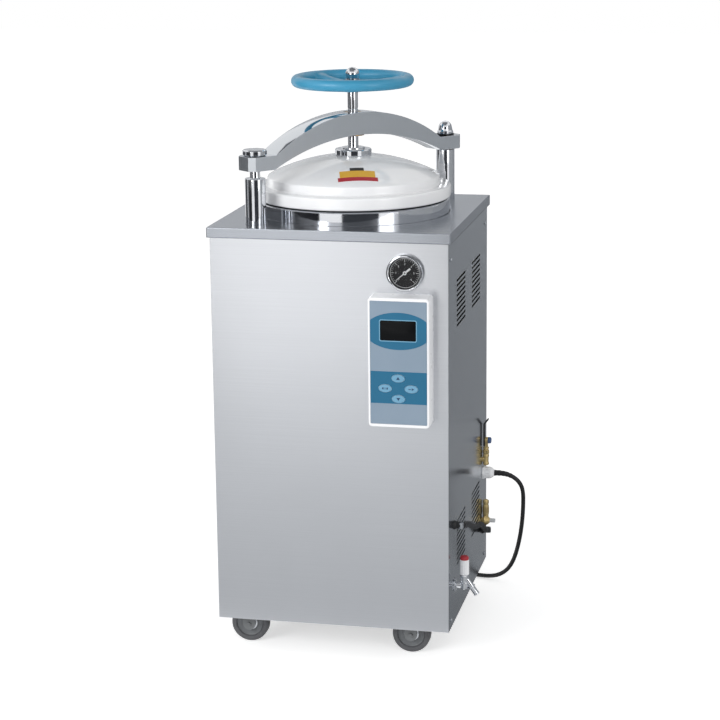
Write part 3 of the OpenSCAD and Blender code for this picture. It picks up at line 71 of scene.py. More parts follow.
# %%
PANEL = 220.0           # half of the cabinet's width and depth
POST_R = 225.0          # from the axis to each post
YOKE_A = radians(49.9)
POST = (POST_R * cos(YOKE_A), POST_R * sin(YOKE_A))
LID_BASE = 840.0
RIM_TOP, WALL_TOP = 864.0, 881.0
RIM_R, WALL_R = 183.5, 162.5
DOME_RISE = 39.0
DOME_R = (WALL_R ** 2 + DOME_RISE ** 2) / (2 * DOME_RISE)
DOME_C = WALL_TOP + DOME_RISE - DOME_R
PAD_R = 36.0
PAD_Z = DOME_C + sqrt(DOME_R ** 2 - PAD_R ** 2)
WHEEL_Z = 1058.0
GAUGE = (142.0, 739.0)
BOX_X, BOX_Z, BOX_D = 137.0, 582.0, 40.0
MEMBRANE_W, MEMBRANE_H = 103.0, 225.0
TAP = (158.0, 136.0)    # distance in front of the axis, height
VALVE_Y = 172.0
EXHAUST_Z, LEVER_Z, SAFETY_Z, GLAND_Z = 285.0, 325.0, 158.0, 258.0

# %% [markdown]
# ## Objects and meshes

# %%
scene = bpy.context.scene


def add_object(name, data):
    obj = bpy.data.objects.new(name, data)
    scene.collection.objects.link(obj)
    return obj


def finished_mesh(name, bm):
    """A mesh with the bmesh's form; the bmesh is freed."""
    mesh = bpy.data.meshes.new(name)
    bm.to_mesh(mesh)
    bm.free()
    return mesh


# %% [markdown]
# ## Camera
# Its place was worked out from the deck's and the cabinet's corners in the photograph.

# %%
FOCAL_PX, IMAGE_PX, SENSOR_MM = 2087.2, 720, 36


def add_camera(place, yaw, pitch, roll, shift):
    """A camera that looks along +Y turned by yaw, down by pitch, and rolled."""
    cy, sy, cp, sp = cos(yaw), sin(yaw), cos(pitch), sin(pitch)
    ahead = Vector((-sy * cp, cy * cp, -sp))
    right = Vector((cy, sy, 0))
    up = right.cross(ahead)
    right, up = cos(roll) * right + sin(roll) * up, cos(roll) * up - sin(roll) * right
    camera = add_object("camera", bpy.data.cameras.new("camera"))
    turn = Matrix((right, up, -ahead)).transposed().to_4x4()
    camera.matrix_world = Matrix.Translation(place) @ turn
    camera.data.lens = FOCAL_PX / IMAGE_PX * SENSOR_MM
    camera.data.shift_x, camera.data.shift_y = shift
    camera.data.clip_end = 40
    scene.camera = camera


add_camera((0.8539, -3.8061, 1.4592), radians(12.557), radians(12.348), radians(-0.602),
           (1.84 / IMAGE_PX, -43.0 / IMAGE_PX))
scene.render.resolution_x = scene.render.resolution_y = IMAGE_PX
scene.view_settings.view_transform = "Standard"

# %% [markdown]
# ## Material helpers
# Every material is a node tree on object coordinates, so its grain has a real size in
# millimetres. `lin` is the one place where a screen colour becomes a linear one.

# %%
def lin(code):
    """A colour such as 8c9eaf as linear red, green, blue and alpha."""
    values = [int(code[i:i + 2], 16) / 255 for i in (0, 2, 4)]
    return [v / 12.92 if v <= 0.04045 else ((v + 0.055) / 1.055) ** 2.4 for v in values] + [1]


class Graph:
    """A node tree under construction."""

    def __init__(self, tree):
        self.tree = tree

    def node(self, kind, values=None, **settings):
        """A new node with its settings, and with the values of some of its sockets."""
        made = self.tree.nodes.new("ShaderNode" + kind)
        for key, value in settings.items():
            setattr(made, key, value)
        for socket, value in (values or {}).items():
            made.inputs[socket].default_value = value
        return made

    def link(self, source, target):
        self.tree.links.new(source, target)


class Surface(Graph):
    """A material under construction: a shader with its colour, roughness and bump chains."""

    def __init__(self, name, code, rough, metallic=0.0, coat=0.0, ior=1.5):
        self.mat = bpy.data.materials.new(name)
        self.mat.use_nodes = True
        super().__init__(self.mat.node_tree)
        self.shader = self.tree.nodes["Principled BSDF"]
        self.set("Base Color", lin(code))
        self.set("Roughness", rough)
        self.set("Metallic", metallic)
        self.set("Coat Weight", coat)
        self.set("IOR", ior)
        self.mat.diffuse_color = lin(code)
        self.coords = self.node("TexCoord").outputs["Object"]

    def set(self, socket, value):
        self.shader.inputs[socket].default_value = value

    def noise(self, grain_mm, detail=4.0, rough=0.55):
        """Noise with its grain's size in millimetres: one size, or three along X, Y and Z."""
        grains = grain_mm if isinstance(grain_mm, list) else [grain_mm] * 3
        mapping = self.node("Mapping", {"Scale": [1 / (grain * MM) for grain in grains]})
        texture = self.node("TexNoise", {"Scale": 1.0, "Detail": detail, "Roughness": rough})
        self.link(self.coords, mapping.inputs["Vector"])
        self.link(mapping.outputs["Vector"], texture.inputs["Vector"])
        return texture.outputs["Fac"]

    def spread(self, source, low, high, from_low=0.3, from_high=0.7):
        """A value mapped to a range."""
        ranged = self.node("MapRange", {"From Min": from_low, "From Max": from_high, "To Min": low,
                                        "To Max": high})
        self.link(source, ranged.inputs["Value"])
        return ranged.outputs["Result"]

    def blend(self, factor, a, b):
        """Colour a turning into colour b; each is a code or a socket."""
        mix = self.node("Mix", data_type="RGBA")
        self.link(factor, mix.inputs[0])
        for socket, value in ((mix.inputs[6], a), (mix.inputs[7], b)):
            if isinstance(value, str):
                socket.default_value = lin(value)
            else:
                self.link(value, socket)
        return mix.outputs[2]

    def colour(self, source):
        self.link(source, self.shader.inputs["Base Color"])

    def roughness(self, source):
        self.link(source, self.shader.inputs["Roughness"])

    def bump(self, source, depth_mm):
        bump = self.node("Bump", {"Distance": depth_mm * MM, "Strength": 1.0})
        self.link(source, bump.inputs["Height"])
        self.link(bump.outputs["Normal"], self.shader.inputs["Normal"])


def brushed(name, light, dark, rough, grain_mm, depth_mm=0.004, spread=0.06):
    """Brushed metal: streaks long along one axis, in colour, roughness and height."""
    s = Surface(name, light, rough, metallic=1.0)
    streak = s.noise(grain_mm, detail=6.0, rough=0.65)
    cloud = s.noise(160, detail=2.0)
    s.colour(s.blend(s.spread(cloud, 0.0, 0.55), s.blend(s.spread(streak, 0, 1), light, dark), dark))
    s.roughness(s.spread(streak, rough - spread, rough + spread))
    s.bump(streak, depth_mm)
    return s.mat


def polished(name, code, rough):
    """Polished metal with a faint haze and hairline scratches."""
    s = Surface(name, code, rough, metallic=1.0)
    haze = s.noise(35, detail=3.0)
    s.roughness(s.spread(haze, rough * 0.6, rough * 1.6))
    s.bump(s.noise([0.4, 0.4, 9], detail=2.0), 0.0008)
    return s.mat


def enamel(name, light, dark, rough, peel_mm=2.2, depth_mm=0.012, coat=0.5, gloss=0.5):
    """Sprayed or moulded gloss: a soft cloud of tone and an orange-peel height."""
    s = Surface(name, light, rough, coat=coat)
    s.set("Coat Roughness", 0.08)
    s.set("Specular IOR Level", gloss)
    s.colour(s.blend(s.spread(s.noise(90, detail=3.0), 0, 1), light, dark))
    peel = s.noise(peel_mm, detail=2.0)
    s.roughness(s.spread(s.noise(14), rough * 0.8, rough * 1.3))
    s.bump(peel, depth_mm)
    return s.mat


def grained(name, light, dark, rough, grain_mm=0.5, depth_mm=0.03):
    """Matt rubber or plastic with a fine leathery grain and a dusty tone."""
    s = Surface(name, light, rough)
    s.colour(s.blend(s.spread(s.noise(20, detail=5.0), 0, 1), light, dark))
    s.roughness(s.spread(s.noise(6), rough * 0.88, min(1.0, rough * 1.12)))
    s.bump(s.noise(grain_mm, detail=3.0), depth_mm)
    return s.mat


def film(name, light, dark, rough):
    """Printed film: an even tone with hardly any grain."""
    return enamel(name, light, dark, rough, peel_mm=0.8, depth_mm=0.003, coat=0.0)


# %% [markdown]
# ## Materials

# %%
# One brushed stainless in lit and shaded copies: the front copy's lighter tone is painted light, and
# the right side's darker tone is painted shade. The rear copy, for the left and back panels, sits
# between them.
LIT_FRONT_STEEL = brushed("brushed_stainless_front_painted_light", "dfe1e5", "d9dbdf", 0.30, [300, 300, 1.0], 0.0008,
                       0.025)
SHADED_SIDE_STEEL = brushed("brushed_stainless_side_painted_shade", "bcc1c6", "b2b7bd", 0.16, [260, 260, 0.8], 0.0006, 0.03)
REAR_STEEL = brushed("brushed_stainless_rear", "cdd0d4", "c5c8cc", 0.32, [300, 300, 1.0], 0.0008,
                     0.025)
# The deck's copy is darker still: painted shade on a face that looks up.
SHADED_DECK_STEEL = brushed("brushed_stainless_deck_painted_shade", "b6bac1", "aeb2b9", 0.25, [240, 0.8, 0.8], 0.0012, 0.03)
POLISHED = polished("polished_stainless", "dddfe3", 0.07)
# A darker polished steel for the washers and hose clips.
DARK_STEEL = polished("dark_polished_steel", "4a4c50", 0.28)
SATIN = brushed("satin_stainless", "c9ccd0", "aeb2b7", 0.26, [14, 14, 0.7])
BRONZE = polished("machined_bronze", "b08d57", 0.24)
BRASS = polished("machined_brass", "e2c98f", 0.30)
SHEATH = brushed("oxidised_heater_sheath", "5a534d", "38342f", 0.42, 9)
FRAME_PAINT = enamel("grey_frame_paint", "777a7c", "66696b", 0.45, coat=0.1)
WHITE_ENAMEL = enamel("white_enamel", "f6f7f8", "f0f1f3", 0.16, peel_mm=5.0, depth_mm=0.004)
TEAL_GRIP = enamel("teal_wheel_coating", "3e97bd", "378fb3", 0.36, peel_mm=3.0, depth_mm=0.02, coat=0.1)
WHITE_PLASTIC = enamel("white_moulded_plastic", "f6f7f9", "f0f1f4", 0.32, peel_mm=1.2, coat=0.1)
GREY_PLASTIC = enamel("pale_grey_plastic", "d9dcdf", "cbced2", 0.35, peel_mm=1.2, coat=0.1)
FILM = film("blue_grey_printed_film", "8697a8", "8092a3", 0.40)
TEAL_FILM = film("teal_printed_film", "10668a", "0e6285", 0.40)
PALE_FILM = film("pale_blue_printed_film", "74a9c6", "6fa4c1", 0.40)
KEY_FILM = film("pale_blue_key_film", "6ea3c1", "699dbb", 0.38)
KEY_INK = film("dark_blue_ink", "173a63", "143459", 0.4)
DISPLAY = enamel("smoked_display_window", "0d0e10", "0f1012", 0.20, peel_mm=30, depth_mm=0.001,
                 coat=0.0, gloss=0.1)
DIAL = grained("black_dial_paint", "111215", "15161a", 0.5, 0.3, 0.004)
DIAL_INK = grained("white_dial_ink", "eeeff0", "e6e8ea", 0.5, 0.3, 0.003)
BLACK_RUBBER = grained("black_rubber", "191a1c", "202224", 0.55, 0.6)
TYRE = grained("grey_solid_tyre", "5a5b5e", "505154", 0.62, 0.9, 0.05)
CASTOR_CORE = grained("grey_castor_core", "6d7073", "606366", 0.5, 0.7, 0.03)
CABLE_SHEATH = grained("black_cable_sheath", "17181a", "1e1f22", 0.48, 0.7, 0.02)
BLACK_PLASTIC = grained("black_moulded_plastic", "17181b", "1e1f22", 0.42, 0.5, 0.02)
BLUE_PLASTIC = grained("blue_grey_plastic", "4a648f", "3f5880", 0.42, 0.5, 0.02)
RED_PLASTIC = grained("red_plastic", "b5303a", "a32a33", 0.4, 0.5, 0.02)
BLACK_INK = grained("black_label_film", "26241f", "2c2a25", 0.45, 0.4, 0.004)
YELLOW_INK = grained("yellow_label_film", "e3b23a", "dba932", 0.45, 0.4, 0.004)
RED_INK = grained("red_label_film", "b52b38", "a92733", 0.45, 0.4, 0.004)
WOOL = grained("mineral_wool_jacket", "c9c2a4", "aea684", 0.95, 3.0, 1.2)
BOARD = grained("green_circuit_laminate", "2f6b46", "2a5f3f", 0.45, 1.5, 0.05)


def yoke_steel():
    """Ground flat faces with a satin grain; the faces that look up or down are polished."""
    s = Surface("ground_and_polished_steel", "c4c8ce", 0.3, metallic=1.0)
    streak = s.noise([0.8, 0.8, 60], detail=6.0, rough=0.65)
    s.colour(s.blend(s.spread(streak, 0, 1), "d2d6da", "ced2d7"))
    split = s.node("SeparateXYZ")
    s.link(s.node("NewGeometry").outputs["Normal"], split.inputs["Vector"])
    upright = s.node("Math", operation="ABSOLUTE")
    s.link(split.outputs["Z"], upright.inputs[0])
    s.roughness(s.spread(upright.outputs["Value"], 0.34, 0.08, 0.35, 0.6))
    s.bump(streak, 0.0006)
    return s.mat


YOKE_STEEL = yoke_steel()


def clear_glass():
    s = Surface("clear_gauge_glass", "0a0b0c", 0.03, ior=1.45)
    s.set("Alpha", 0.10)
    s.set("Specular IOR Level", 0.25)
    s.roughness(s.spread(s.noise(25), 0.02, 0.05))
    s.mat.surface_render_method = "BLENDED"
    return s.mat


GLASS = clear_glass()

SLOTS = {
    "polished_steel": (POLISHED, DARK_STEEL, SATIN), "brass": (BRASS,),
    "black_plastic": (BLACK_PLASTIC, BLUE_PLASTIC), "black_rubber": (BLACK_RUBBER,),
    "white_plastic": (WHITE_PLASTIC, GREY_PLASTIC, RED_PLASTIC), "wheel_paint": (TEAL_GRIP,),
    "lid_enamel": (WHITE_ENAMEL, BLACK_INK, YELLOW_INK, RED_INK), "dial": (DIAL, DIAL_INK),
    "clear_glass": (GLASS,), "membrane": (FILM, TEAL_FILM, PALE_FILM), "window": (DISPLAY,),
    "key_plastic": (KEY_FILM, KEY_INK), "tyre_rubber": (TYRE, CASTOR_CORE)}
SLOT_OF = {material: slot for slot, group in SLOTS.items() for material in group}

# %% [markdown]
# ## Mesh helpers
# A piece is built round its own axis in millimetres and then moved into place in its mesh, so
# the finished object stays at the origin, unturned and unscaled.

# %%
def on_front(x, z):
    """Local +Z points out of the front panel, local +Y up."""
    return Matrix(((1, 0, 0, x), (0, 0, -1, -PANEL), (0, 1, 0, z), (0, 0, 0, 1)))


def on_right(y, z):
    """Local +Z points out of the right panel, local +Y up, local +X to the back."""
    return Matrix(((0, 0, 1, PANEL), (1, 0, 0, y), (0, 1, 0, z), (0, 0, 0, 1)))


def about_z(turn):
    return Matrix.Rotation(turn, 4, "Z")


def at(x, y, z=0.0, turn=0.0):
    return Matrix.Translation((x, y, z)) @ about_z(turn)


def facing(place, way):
    """Local +Z points along way."""
    return Matrix.Translation(place) @ way.to_track_quat("Z", "Y").to_matrix().to_4x4()


def circle_angles(n):
    return [2 * pi * k / n for k in range(n)]


def raised(outline, z):
    """A flat outline as a ring of points at one height."""
    return [(x, y, z) for x, y in outline]


def lifted(profile, z):
    """A profile whose heights were counted from z."""
    return [(r, z + height) for r, height in profile]


def rounded(points, radius, steps=4, closed=True):
    """The same outline with each of its corners turned into an arc."""
    out, n = [], len(points)
    for i, p in enumerate(points):
        p = Vector(p)
        if not closed and i in (0, n - 1):
            out.append(tuple(p))
            continue
        a, b = Vector(points[i - 1]) - p, Vector(points[(i + 1) % n]) - p
        if a.length < 1e-6 or b.length < 1e-6:
            continue
        angle = a.angle(b)
        if angle > 2.95:
            out.append(tuple(p))
            continue
        cut = min(radius / tan(angle / 2), a.length * 0.45, b.length * 0.45)
        arc = cut * tan(angle / 2)
        centre = p + (a.normalized() + b.normalized()).normalized() * arc / sin(angle / 2)
        first, last = p + a.normalized() * cut - centre, p + b.normalized() * cut - centre
        opening = first.angle_signed(last)
        for k in range(steps + 1):
            spoke = first.copy()
            spoke.rotate(Matrix.Rotation(-opening * k / steps, 2))
            out.append(tuple(centre + spoke))
    return out


def piece(name, bm, material, place=None, node=None, body="cabinet", slot=None, smooth=32):
    """Turns a bmesh in millimetres into a finished object that rides on a body.

    It may take a CAD node's place. Its slot, given or its material's, is worked out but not used.
    """
    slot = slot or SLOT_OF[material]
    if place is not None:
        bmesh.ops.transform(bm, matrix=place, verts=bm.verts)
    bmesh.ops.scale(bm, vec=(MM, MM, MM), verts=bm.verts)
    bmesh.ops.remove_doubles(bm, verts=bm.verts, dist=1e-7)
    bmesh.ops.recalc_face_normals(bm, faces=bm.faces)
    mesh = finished_mesh(name, bm)
    for polygon in mesh.polygons:
        polygon.use_smooth = True
    mesh.set_sharp_from_angle(angle=radians(smooth))
    mesh.materials.append(material)
    obj = add_object(name, mesh)
    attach(obj, body)
    if node:
        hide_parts(node)
    return obj


def spin(profile, steps=96, closed=False):
    """A new bmesh: a profile of (radius, height) points turned about the local Z axis."""
    bm = bmesh.new()
    verts = [bm.verts.new((r, 0, z)) for r, z in profile]
    pairs = list(zip(verts, verts[1:])) + ([(verts[-1], verts[0])] if closed else [])
    edges = [bm.edges.new(pair) for pair in pairs]
    bmesh.ops.spin(bm, geom=verts + edges, cent=(0, 0, 0), axis=(0, 0, 1), angle=2 * pi,
                   steps=steps, use_merge=True)
    bmesh.ops.remove_doubles(bm, verts=bm.verts, dist=1e-4)
    return bm


def turned(profile, radius=1.0, steps=96, corner_steps=4):
    """A new bmesh of a turned piece with its corners rounded."""
    return spin(rounded(profile, radius, corner_steps, closed=False), steps)


def turned_ring(profile, radius, steps=96):
    """The same for a profile that closes on itself, clear of the axis."""
    return spin(rounded(profile, radius), steps, closed=True)


def join(*meshes):
    """Several bmeshes as one."""
    out = bmesh.new()
    for bm in meshes:
        temporary = finished_mesh("temporary", bm)
        out.from_mesh(temporary)
        bpy.data.meshes.remove(temporary)
    return out


def moved(bm, matrix):
    bmesh.ops.transform(bm, matrix=matrix, verts=bm.verts)
    return bm


def slab(outline, low, high, edge=0.0, edge_steps=3):
    """An outline in the local XY plane with a thickness, its upper and lower rims softened."""
    bm = bmesh.new()
    base = [bm.verts.new((x, y, low)) for x, y in outline]
    face = bm.faces.new(base)
    drawn = bmesh.ops.extrude_face_region(bm, geom=[face])
    top = [v for v in drawn["geom"] if isinstance(v, bmesh.types.BMVert)]
    bmesh.ops.translate(bm, vec=(0, 0, high - low), verts=top)
    bmesh.ops.recalc_face_normals(bm, faces=bm.faces)
    if edge:
        rims = [e for e in bm.edges if abs(e.verts[0].co.z - e.verts[1].co.z) < 1e-6]
        bmesh.ops.bevel(bm, geom=rims, offset=edge, segments=edge_steps, profile=0.5,
                        affect="EDGES", clamp_overlap=True)
    return bm


def block(low, high, edge=0.5, edge_steps=3):
    """A box between two corners with all its edges softened."""
    bm = bmesh.new()
    bmesh.ops.create_cube(bm, size=1.0)
    size = [b - a for a, b in zip(low, high)]
    bmesh.ops.scale(bm, vec=size, verts=bm.verts)
    bmesh.ops.translate(bm, vec=[(a + b) / 2 for a, b in zip(low, high)], verts=bm.verts)
    bmesh.ops.bevel(bm, geom=bm.edges[:], offset=min(edge, min(size) * 0.45), segments=edge_steps,
                    profile=0.5, affect="EDGES")
    return bm


def rectangle(w, h, x=0.0, y=0.0):
    return [(x + w * right / 2, y + h * up / 2) for right, up in ((-1, -1), (1, -1), (1, 1), (-1, 1))]


def hexagon(r):
    return [(r * cos(a), r * sin(a)) for a in circle_angles(6)]


def loft(rings):
    """A closed skin through rings with the same number of points, flat at both ends."""
    bm = bmesh.new()
    rows = [[bm.verts.new(p) for p in ring] for ring in rings]
    n = len(rows[0])
    for a, b in zip(rows, rows[1:]):
        for k in range(n):
            bm.faces.new((a[k], a[(k + 1) % n], b[(k + 1) % n], b[k]))
    bm.faces.new(list(reversed(rows[0])))
    bm.faces.new(rows[-1])
    return bm


def sweep(points, radii, sides):
    """A closed round tube along points, with one radius or a list of them."""
    points = [Vector(p) for p in points]
    rings, up = [], None
    for i, p in enumerate(points):
        way = (points[min(i + 1, len(points) - 1)] - points[max(i - 1, 0)]).normalized()
        up = way.orthogonal().normalized() if up is None else up
        up = (up - up.dot(way) * way).normalized()
        side = way.cross(up)
        r = radii[i] if isinstance(radii, list) else radii
        rings.append([p + r * (cos(a) * up + sin(a) * side) for a in circle_angles(sides)])
    return loft(rings)


def smooth_line(points, steps=4):
    """A smooth curve through unevenly spaced points, as a denser list."""
    pts = [Vector(p) for p in points]
    spans = [(b - a).length for a, b in zip(pts, pts[1:])]
    ways = [(b - a) / h for a, b, h in zip(pts, pts[1:], spans)]
    tangents = [ways[0]]
    for i in range(1, len(spans)):
        tangents.append((ways[i - 1] * spans[i] + ways[i] * spans[i - 1]) / (spans[i - 1] + spans[i]))
    tangents.append(ways[-1])
    out = []
    for i, h in enumerate(spans):
        for k in range(steps):
            t = k / steps
            near = (2 * t ** 3 - 3 * t * t + 1) * pts[i] + (t ** 3 - 2 * t * t + t) * h * tangents[i]
            out.append(near + (3 * t * t - 2 * t ** 3) * pts[i + 1]
                       + (t ** 3 - t * t) * h * tangents[i + 1])
    out.append(pts[-1])
    return out


def round_outline(w, h, r, steps=8):
    """A rectangle about the origin with round corners."""
    out = []
    for side_x, side_y, start in ((1, 1, 0), (-1, 1, 90), (-1, -1, 180), (1, -1, 270)):
        for k in range(steps + 1):
            a = radians(start + 90 * k / steps)
            out.append((side_x * (w / 2 - r) + r * cos(a), side_y * (h / 2 - r) + r * sin(a)))
    return out


def pierced(outer, holes, low, high):
    """A plate between two heights with holes through it."""
    bm = bmesh.new()
    loops = [([bm.verts.new((x, y, low)) for x, y in outline],
              [bm.verts.new((x, y, high)) for x, y in outline]) for outline in [outer] + holes]
    upper = {}
    for lows, highs in loops:
        upper.update(zip(lows, highs))
    edges = [bm.edges.new((lows[i - 1], lows[i])) for lows, _ in loops for i in range(len(lows))]
    filled = bmesh.ops.triangle_fill(bm, use_beauty=True, edges=edges)
    for face in [f for f in filled["geom"] if isinstance(f, bmesh.types.BMFace)]:
        bm.faces.new([upper[v] for v in face.verts])
    for lows, highs in loops:
        for i in range(len(lows)):
            bm.faces.new((lows[i - 1], lows[i], highs[i], highs[i - 1]))
    return bm


# %% [markdown]
# ## Mains cable
# One unbroken line: straight out of the gland, down to the floor behind the cabinet, and wound
# into a flat coil of two layers. The points repeat the CAD route.

# %%
CABLE_D = 8.6
FREE_ROUTE = [
    (244, 172, 258), (257, 172, 258), (270, 172.3, 256), (282, 173.4, 250.6), (291.6, 175.3, 242),
    (298, 178, 230.5), (300.5, 181.5, 216), (300.5, 185.5, 198), (299.5, 190, 178),
    (297.5, 195.5, 156), (294.5, 201.5, 134), (290.5, 208.5, 112), (285.5, 216, 90.5),
    (279.5, 224, 70), (272, 232.5, 51), (262.5, 241.5, 34.5), (250.5, 250.5, 21.5), (236, 259, 12),
    (219, 266.5, 6.6), (200, 272.5, 4.8), (179, 277, 4.8), (156, 279.6, 4.8), (132.5, 280.4, 4.8),
    (109, 280, 4.8)]
COIL_PITCH, COIL_TURNS, COIL_IN, COIL_STEPS = CABLE_D + 1.2, 3, 36.8, 24
COIL_CLIMB = 0.35       # part of a turn in which the cable rises to the upper layer
COIL_OUT = COIL_IN + COIL_TURNS * COIL_PITCH
COIL_JOIN = FREE_ROUTE[-1]
COIL_CENTRE = (COIL_JOIN[0] - 12, COIL_JOIN[1] + COIL_OUT)
COIL_LAST = 2 * COIL_TURNS * COIL_STEPS


def coil_point(i):
    turn = i / COIL_STEPS
    low_r = COIL_OUT - COIL_PITCH * min(turn, COIL_TURNS)
    grown = max(turn - COIL_TURNS - COIL_CLIMB, 0) / (COIL_TURNS - COIL_CLIMB)
    share = min(max((turn - COIL_TURNS) / COIL_CLIMB, 0), 1)
    r = low_r + (COIL_OUT - COIL_IN) * grown
    a = -pi / 2 - 2 * pi * turn
    return (COIL_CENTRE[0] + r * cos(a), COIL_CENTRE[1] + r * sin(a),
            COIL_JOIN[2] + share * share * (3 - 2 * share) * COIL_PITCH)


def cable_points():
    """The whole route, from the gland to the plug."""
    end_a = -pi / 2 - 2 * pi * COIL_LAST / COIL_STEPS
    way = Vector((sin(end_a), -cos(end_a), 0))
    end = Vector(coil_point(COIL_LAST))
    coil = [coil_point(i) for i in range(1, COIL_LAST + 1)]
    join_point = (COIL_JOIN[0] - CABLE_D, COIL_JOIN[1], COIL_JOIN[2])
    return FREE_ROUTE + [join_point] + coil + [end + CABLE_D * way, end + 2 * CABLE_D * way], way


CABLE_ROUTE, PLUG_WAY = cable_points()


def make_cable():
    dense = smooth_line(CABLE_ROUTE, 3)
    curve = bpy.data.curves.new("mains_cable_sheath", "CURVE")
    curve.dimensions = "3D"
    curve.bevel_depth = CABLE_D / 2 * MM
    curve.bevel_resolution = 3
    curve.use_fill_caps = True
    spline = curve.splines.new("POLY")
    spline.points.add(len(dense) - 1)
    for point, p in zip(spline.points, dense):
        point.co = (p.x * MM, p.y * MM, p.z * MM, 1)
    spline.use_smooth = True
    curve.materials.append(CABLE_SHEATH)
    cable = add_object("mains_cable_sheath", curve)
    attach(cable, "cabinet")
    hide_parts("mains_cable", "cable_coil")
    length = sum((b - a).length for a, b in zip(dense, dense[1:])) * MM
    return cable, length


def dress_plug():
    """A moulded plug with a ribbed collar and three flat pins."""
    place = facing(CABLE_ROUTE[-1], PLUG_WAY)
    profile = [(4.3, 0), (5.0, 1)]
    for i in range(4):
        z = 2 + i * 3.4
        r = 5.2 + i * 0.55
        profile += lifted([(r, 0), (r, 2.0), (r - 1.0, 2.2), (r - 1.0, 3.2)], z)
    profile += [(7.0, 16), (9.6, 24), (12.0, 36), (13.0, 44), (13.0, 49.2), (12.2, 50), (0, 50)]
    body = piece("mains_plug_body", turned(profile, 0.5, 48, 2), BLACK_PLASTIC, place, "mains_plug")
    pins = [moved(block((-3, -0.9, 49), (3, 0.9, 68), 0.4, 2), at(x, y, 0, radians(turn)))
            for x, y, turn in ((-3.25, -6.5, -30), (-3.25, 6.5, 30), (6.5, 0, 90))]
    return [body, piece("mains_plug_pins", join(*pins), BRASS, place)]


CABLE, CABLE_LENGTH = make_cable()
PLUG = dress_plug()
BOOT_LENGTH, BOOT_R, BOOT_TAPER = 44.0, 6.3, 1.6


def strain_relief():
    """A tapered rubber boot on the first part of the cable."""
    line = smooth_line([(236, VALVE_Y, GLAND_Z)] + FREE_ROUTE[:5], 6)
    walked, points, radii = 0.0, [line[0]], [BOOT_R]
    for a, b in zip(line, line[1:]):
        walked += (b - a).length
        if walked > BOOT_LENGTH:
            break
        points.append(b)
        ridge = 0.35 if walked > 12 and int(walked / 4) % 2 else 0.0
        radii.append(BOOT_R - BOOT_TAPER * walked / BOOT_LENGTH - ridge)
    piece("cable_strain_relief", sweep(points, radii, 32), BLACK_RUBBER, smooth=60)


strain_relief()

# %% [markdown]
# ## Posts, nuts and spindle
# Turned chrome pieces. Each profile is a list of radius and height, closed on the axis.

# %%
HEAD_Z = 937.6          # underside of the clamping head and of the rear washer
WHEEL_SEAT = WHEEL_Z - 2


def post_place(end):
    """The front post's axis for -1, the rear post's axis for 1."""
    return at(end * POST[0], end * POST[1])


def dome(r, z, steps=8):
    """A quarter circle from its rim up to the axis."""
    angles = [pi / 2 * i / steps for i in range(steps)]
    return [(r * cos(a), z + r * sin(a)) for a in angles] + [(0, z + r)]


def posts():
    front = [(0, 722), (10, 722), (10, 766), (19, 766), (19, 896), (9.5, 896), (9.5, 946.1), (0, 946.1)]
    piece("front_post_turned", turned(front, 1.4), POLISHED, post_place(-1), "front_post")
    head = [(0, 946.2), (9.55, 946.2), (9.55, HEAD_Z), (20.5, HEAD_Z), (22.5, HEAD_Z + 2),
            (22.5, HEAD_Z + 9), (20.2, HEAD_Z + 11), (0, HEAD_Z + 11)]
    piece("clamp_head_turned", turned(head, 0.8), POLISHED, post_place(-1), "clamp_head")
    rear = [(0, 722), (10, 722), (10, 766), (18, 766), (18, 909.1), (11, 909.1), (11, HEAD_Z),
            (8, HEAD_Z), (8, 951.6), (0, 951.6)]
    piece("rear_post_turned", turned(rear, 1.2), POLISHED, post_place(1), "rear_post")
    nut = lifted([(8.05, 2), (15.5, 2), (15.5, 6), (14.3, 8)], HEAD_Z) + dome(13, HEAD_Z + 13)
    piece("acorn_nut", turned(nut, 0.6), POLISHED, post_place(1), "pivot_nut")
    washer = lifted([(8.05, 0), (17, 0), (17, 2), (8.05, 2)], HEAD_Z)
    piece("acorn_washer", turned_ring(washer, 0.5, 64), DARK_STEEL, post_place(1))


posts()


def spindle():
    shaft = [(0, 921.9), (13, 921.9), (14, 923), (14, 928.6), (13, 929.6), (10, 929.6), (10, 1004),
             (9.3, 1004.6), (9.3, 1006.4), (10, 1007), (10, 1037), (8, 1037), (8, 1071), (0, 1071)]
    piece("spindle_turned", turned(shaft, 0.4), POLISHED, node="spindle", body="screw")
    cap = lifted([(8.05, 3), (12.4, 3), (12.4, 5), (13, 6)], WHEEL_SEAT) + dome(13, WHEEL_SEAT + 14)
    piece("wheel_cap_nut", turned(cap, 0.5), POLISHED, node="wheel_nut", body="screw")
    washer = lifted([(8.05, 0), (15, 0), (15, 3), (8.05, 3)], WHEEL_SEAT)
    piece("wheel_washer", turned_ring(washer, 0.6, 64), DARK_STEEL, body="screw")


spindle()

# %% [markdown]
# ## Handwheel
# Rim, hub and flared spokes are made as overlapping closed forms, fused by a voxel remesh and
# smoothed, which gives the soft fillets of a coated casting.

# %%
RIM_RING_R, RIM_TUBE_R = 104.0, 11.0
HUB_R, HUB_LOW = 25.0, 1037.0
SPOKE_TURN = radians(22)
SPOKE_FORM = [(14, 19.0, 8.2), (24, 16.5, 8.2), (38, 11.5, 7.6), (55, 9.6, 7.2), (72, 9.8, 7.2),
              (86, 12.5, 7.6), (95, 17.0, 8.2), (103, 22.0, 8.0)]


def wheel_rim():
    profile = [(RIM_RING_R + RIM_TUBE_R * cos(a), WHEEL_Z + RIM_TUBE_R * sin(a))
               for a in circle_angles(32)]
    return spin(profile, 144, closed=True)


def wheel_hub():
    profile = [(8.05, HUB_LOW), (21, HUB_LOW), (25, HUB_LOW + 4), (25, WHEEL_SEAT - 4),
               (22.5, WHEEL_SEAT), (8.05, WHEEL_SEAT)]
    return turned_ring(profile, 1.5)


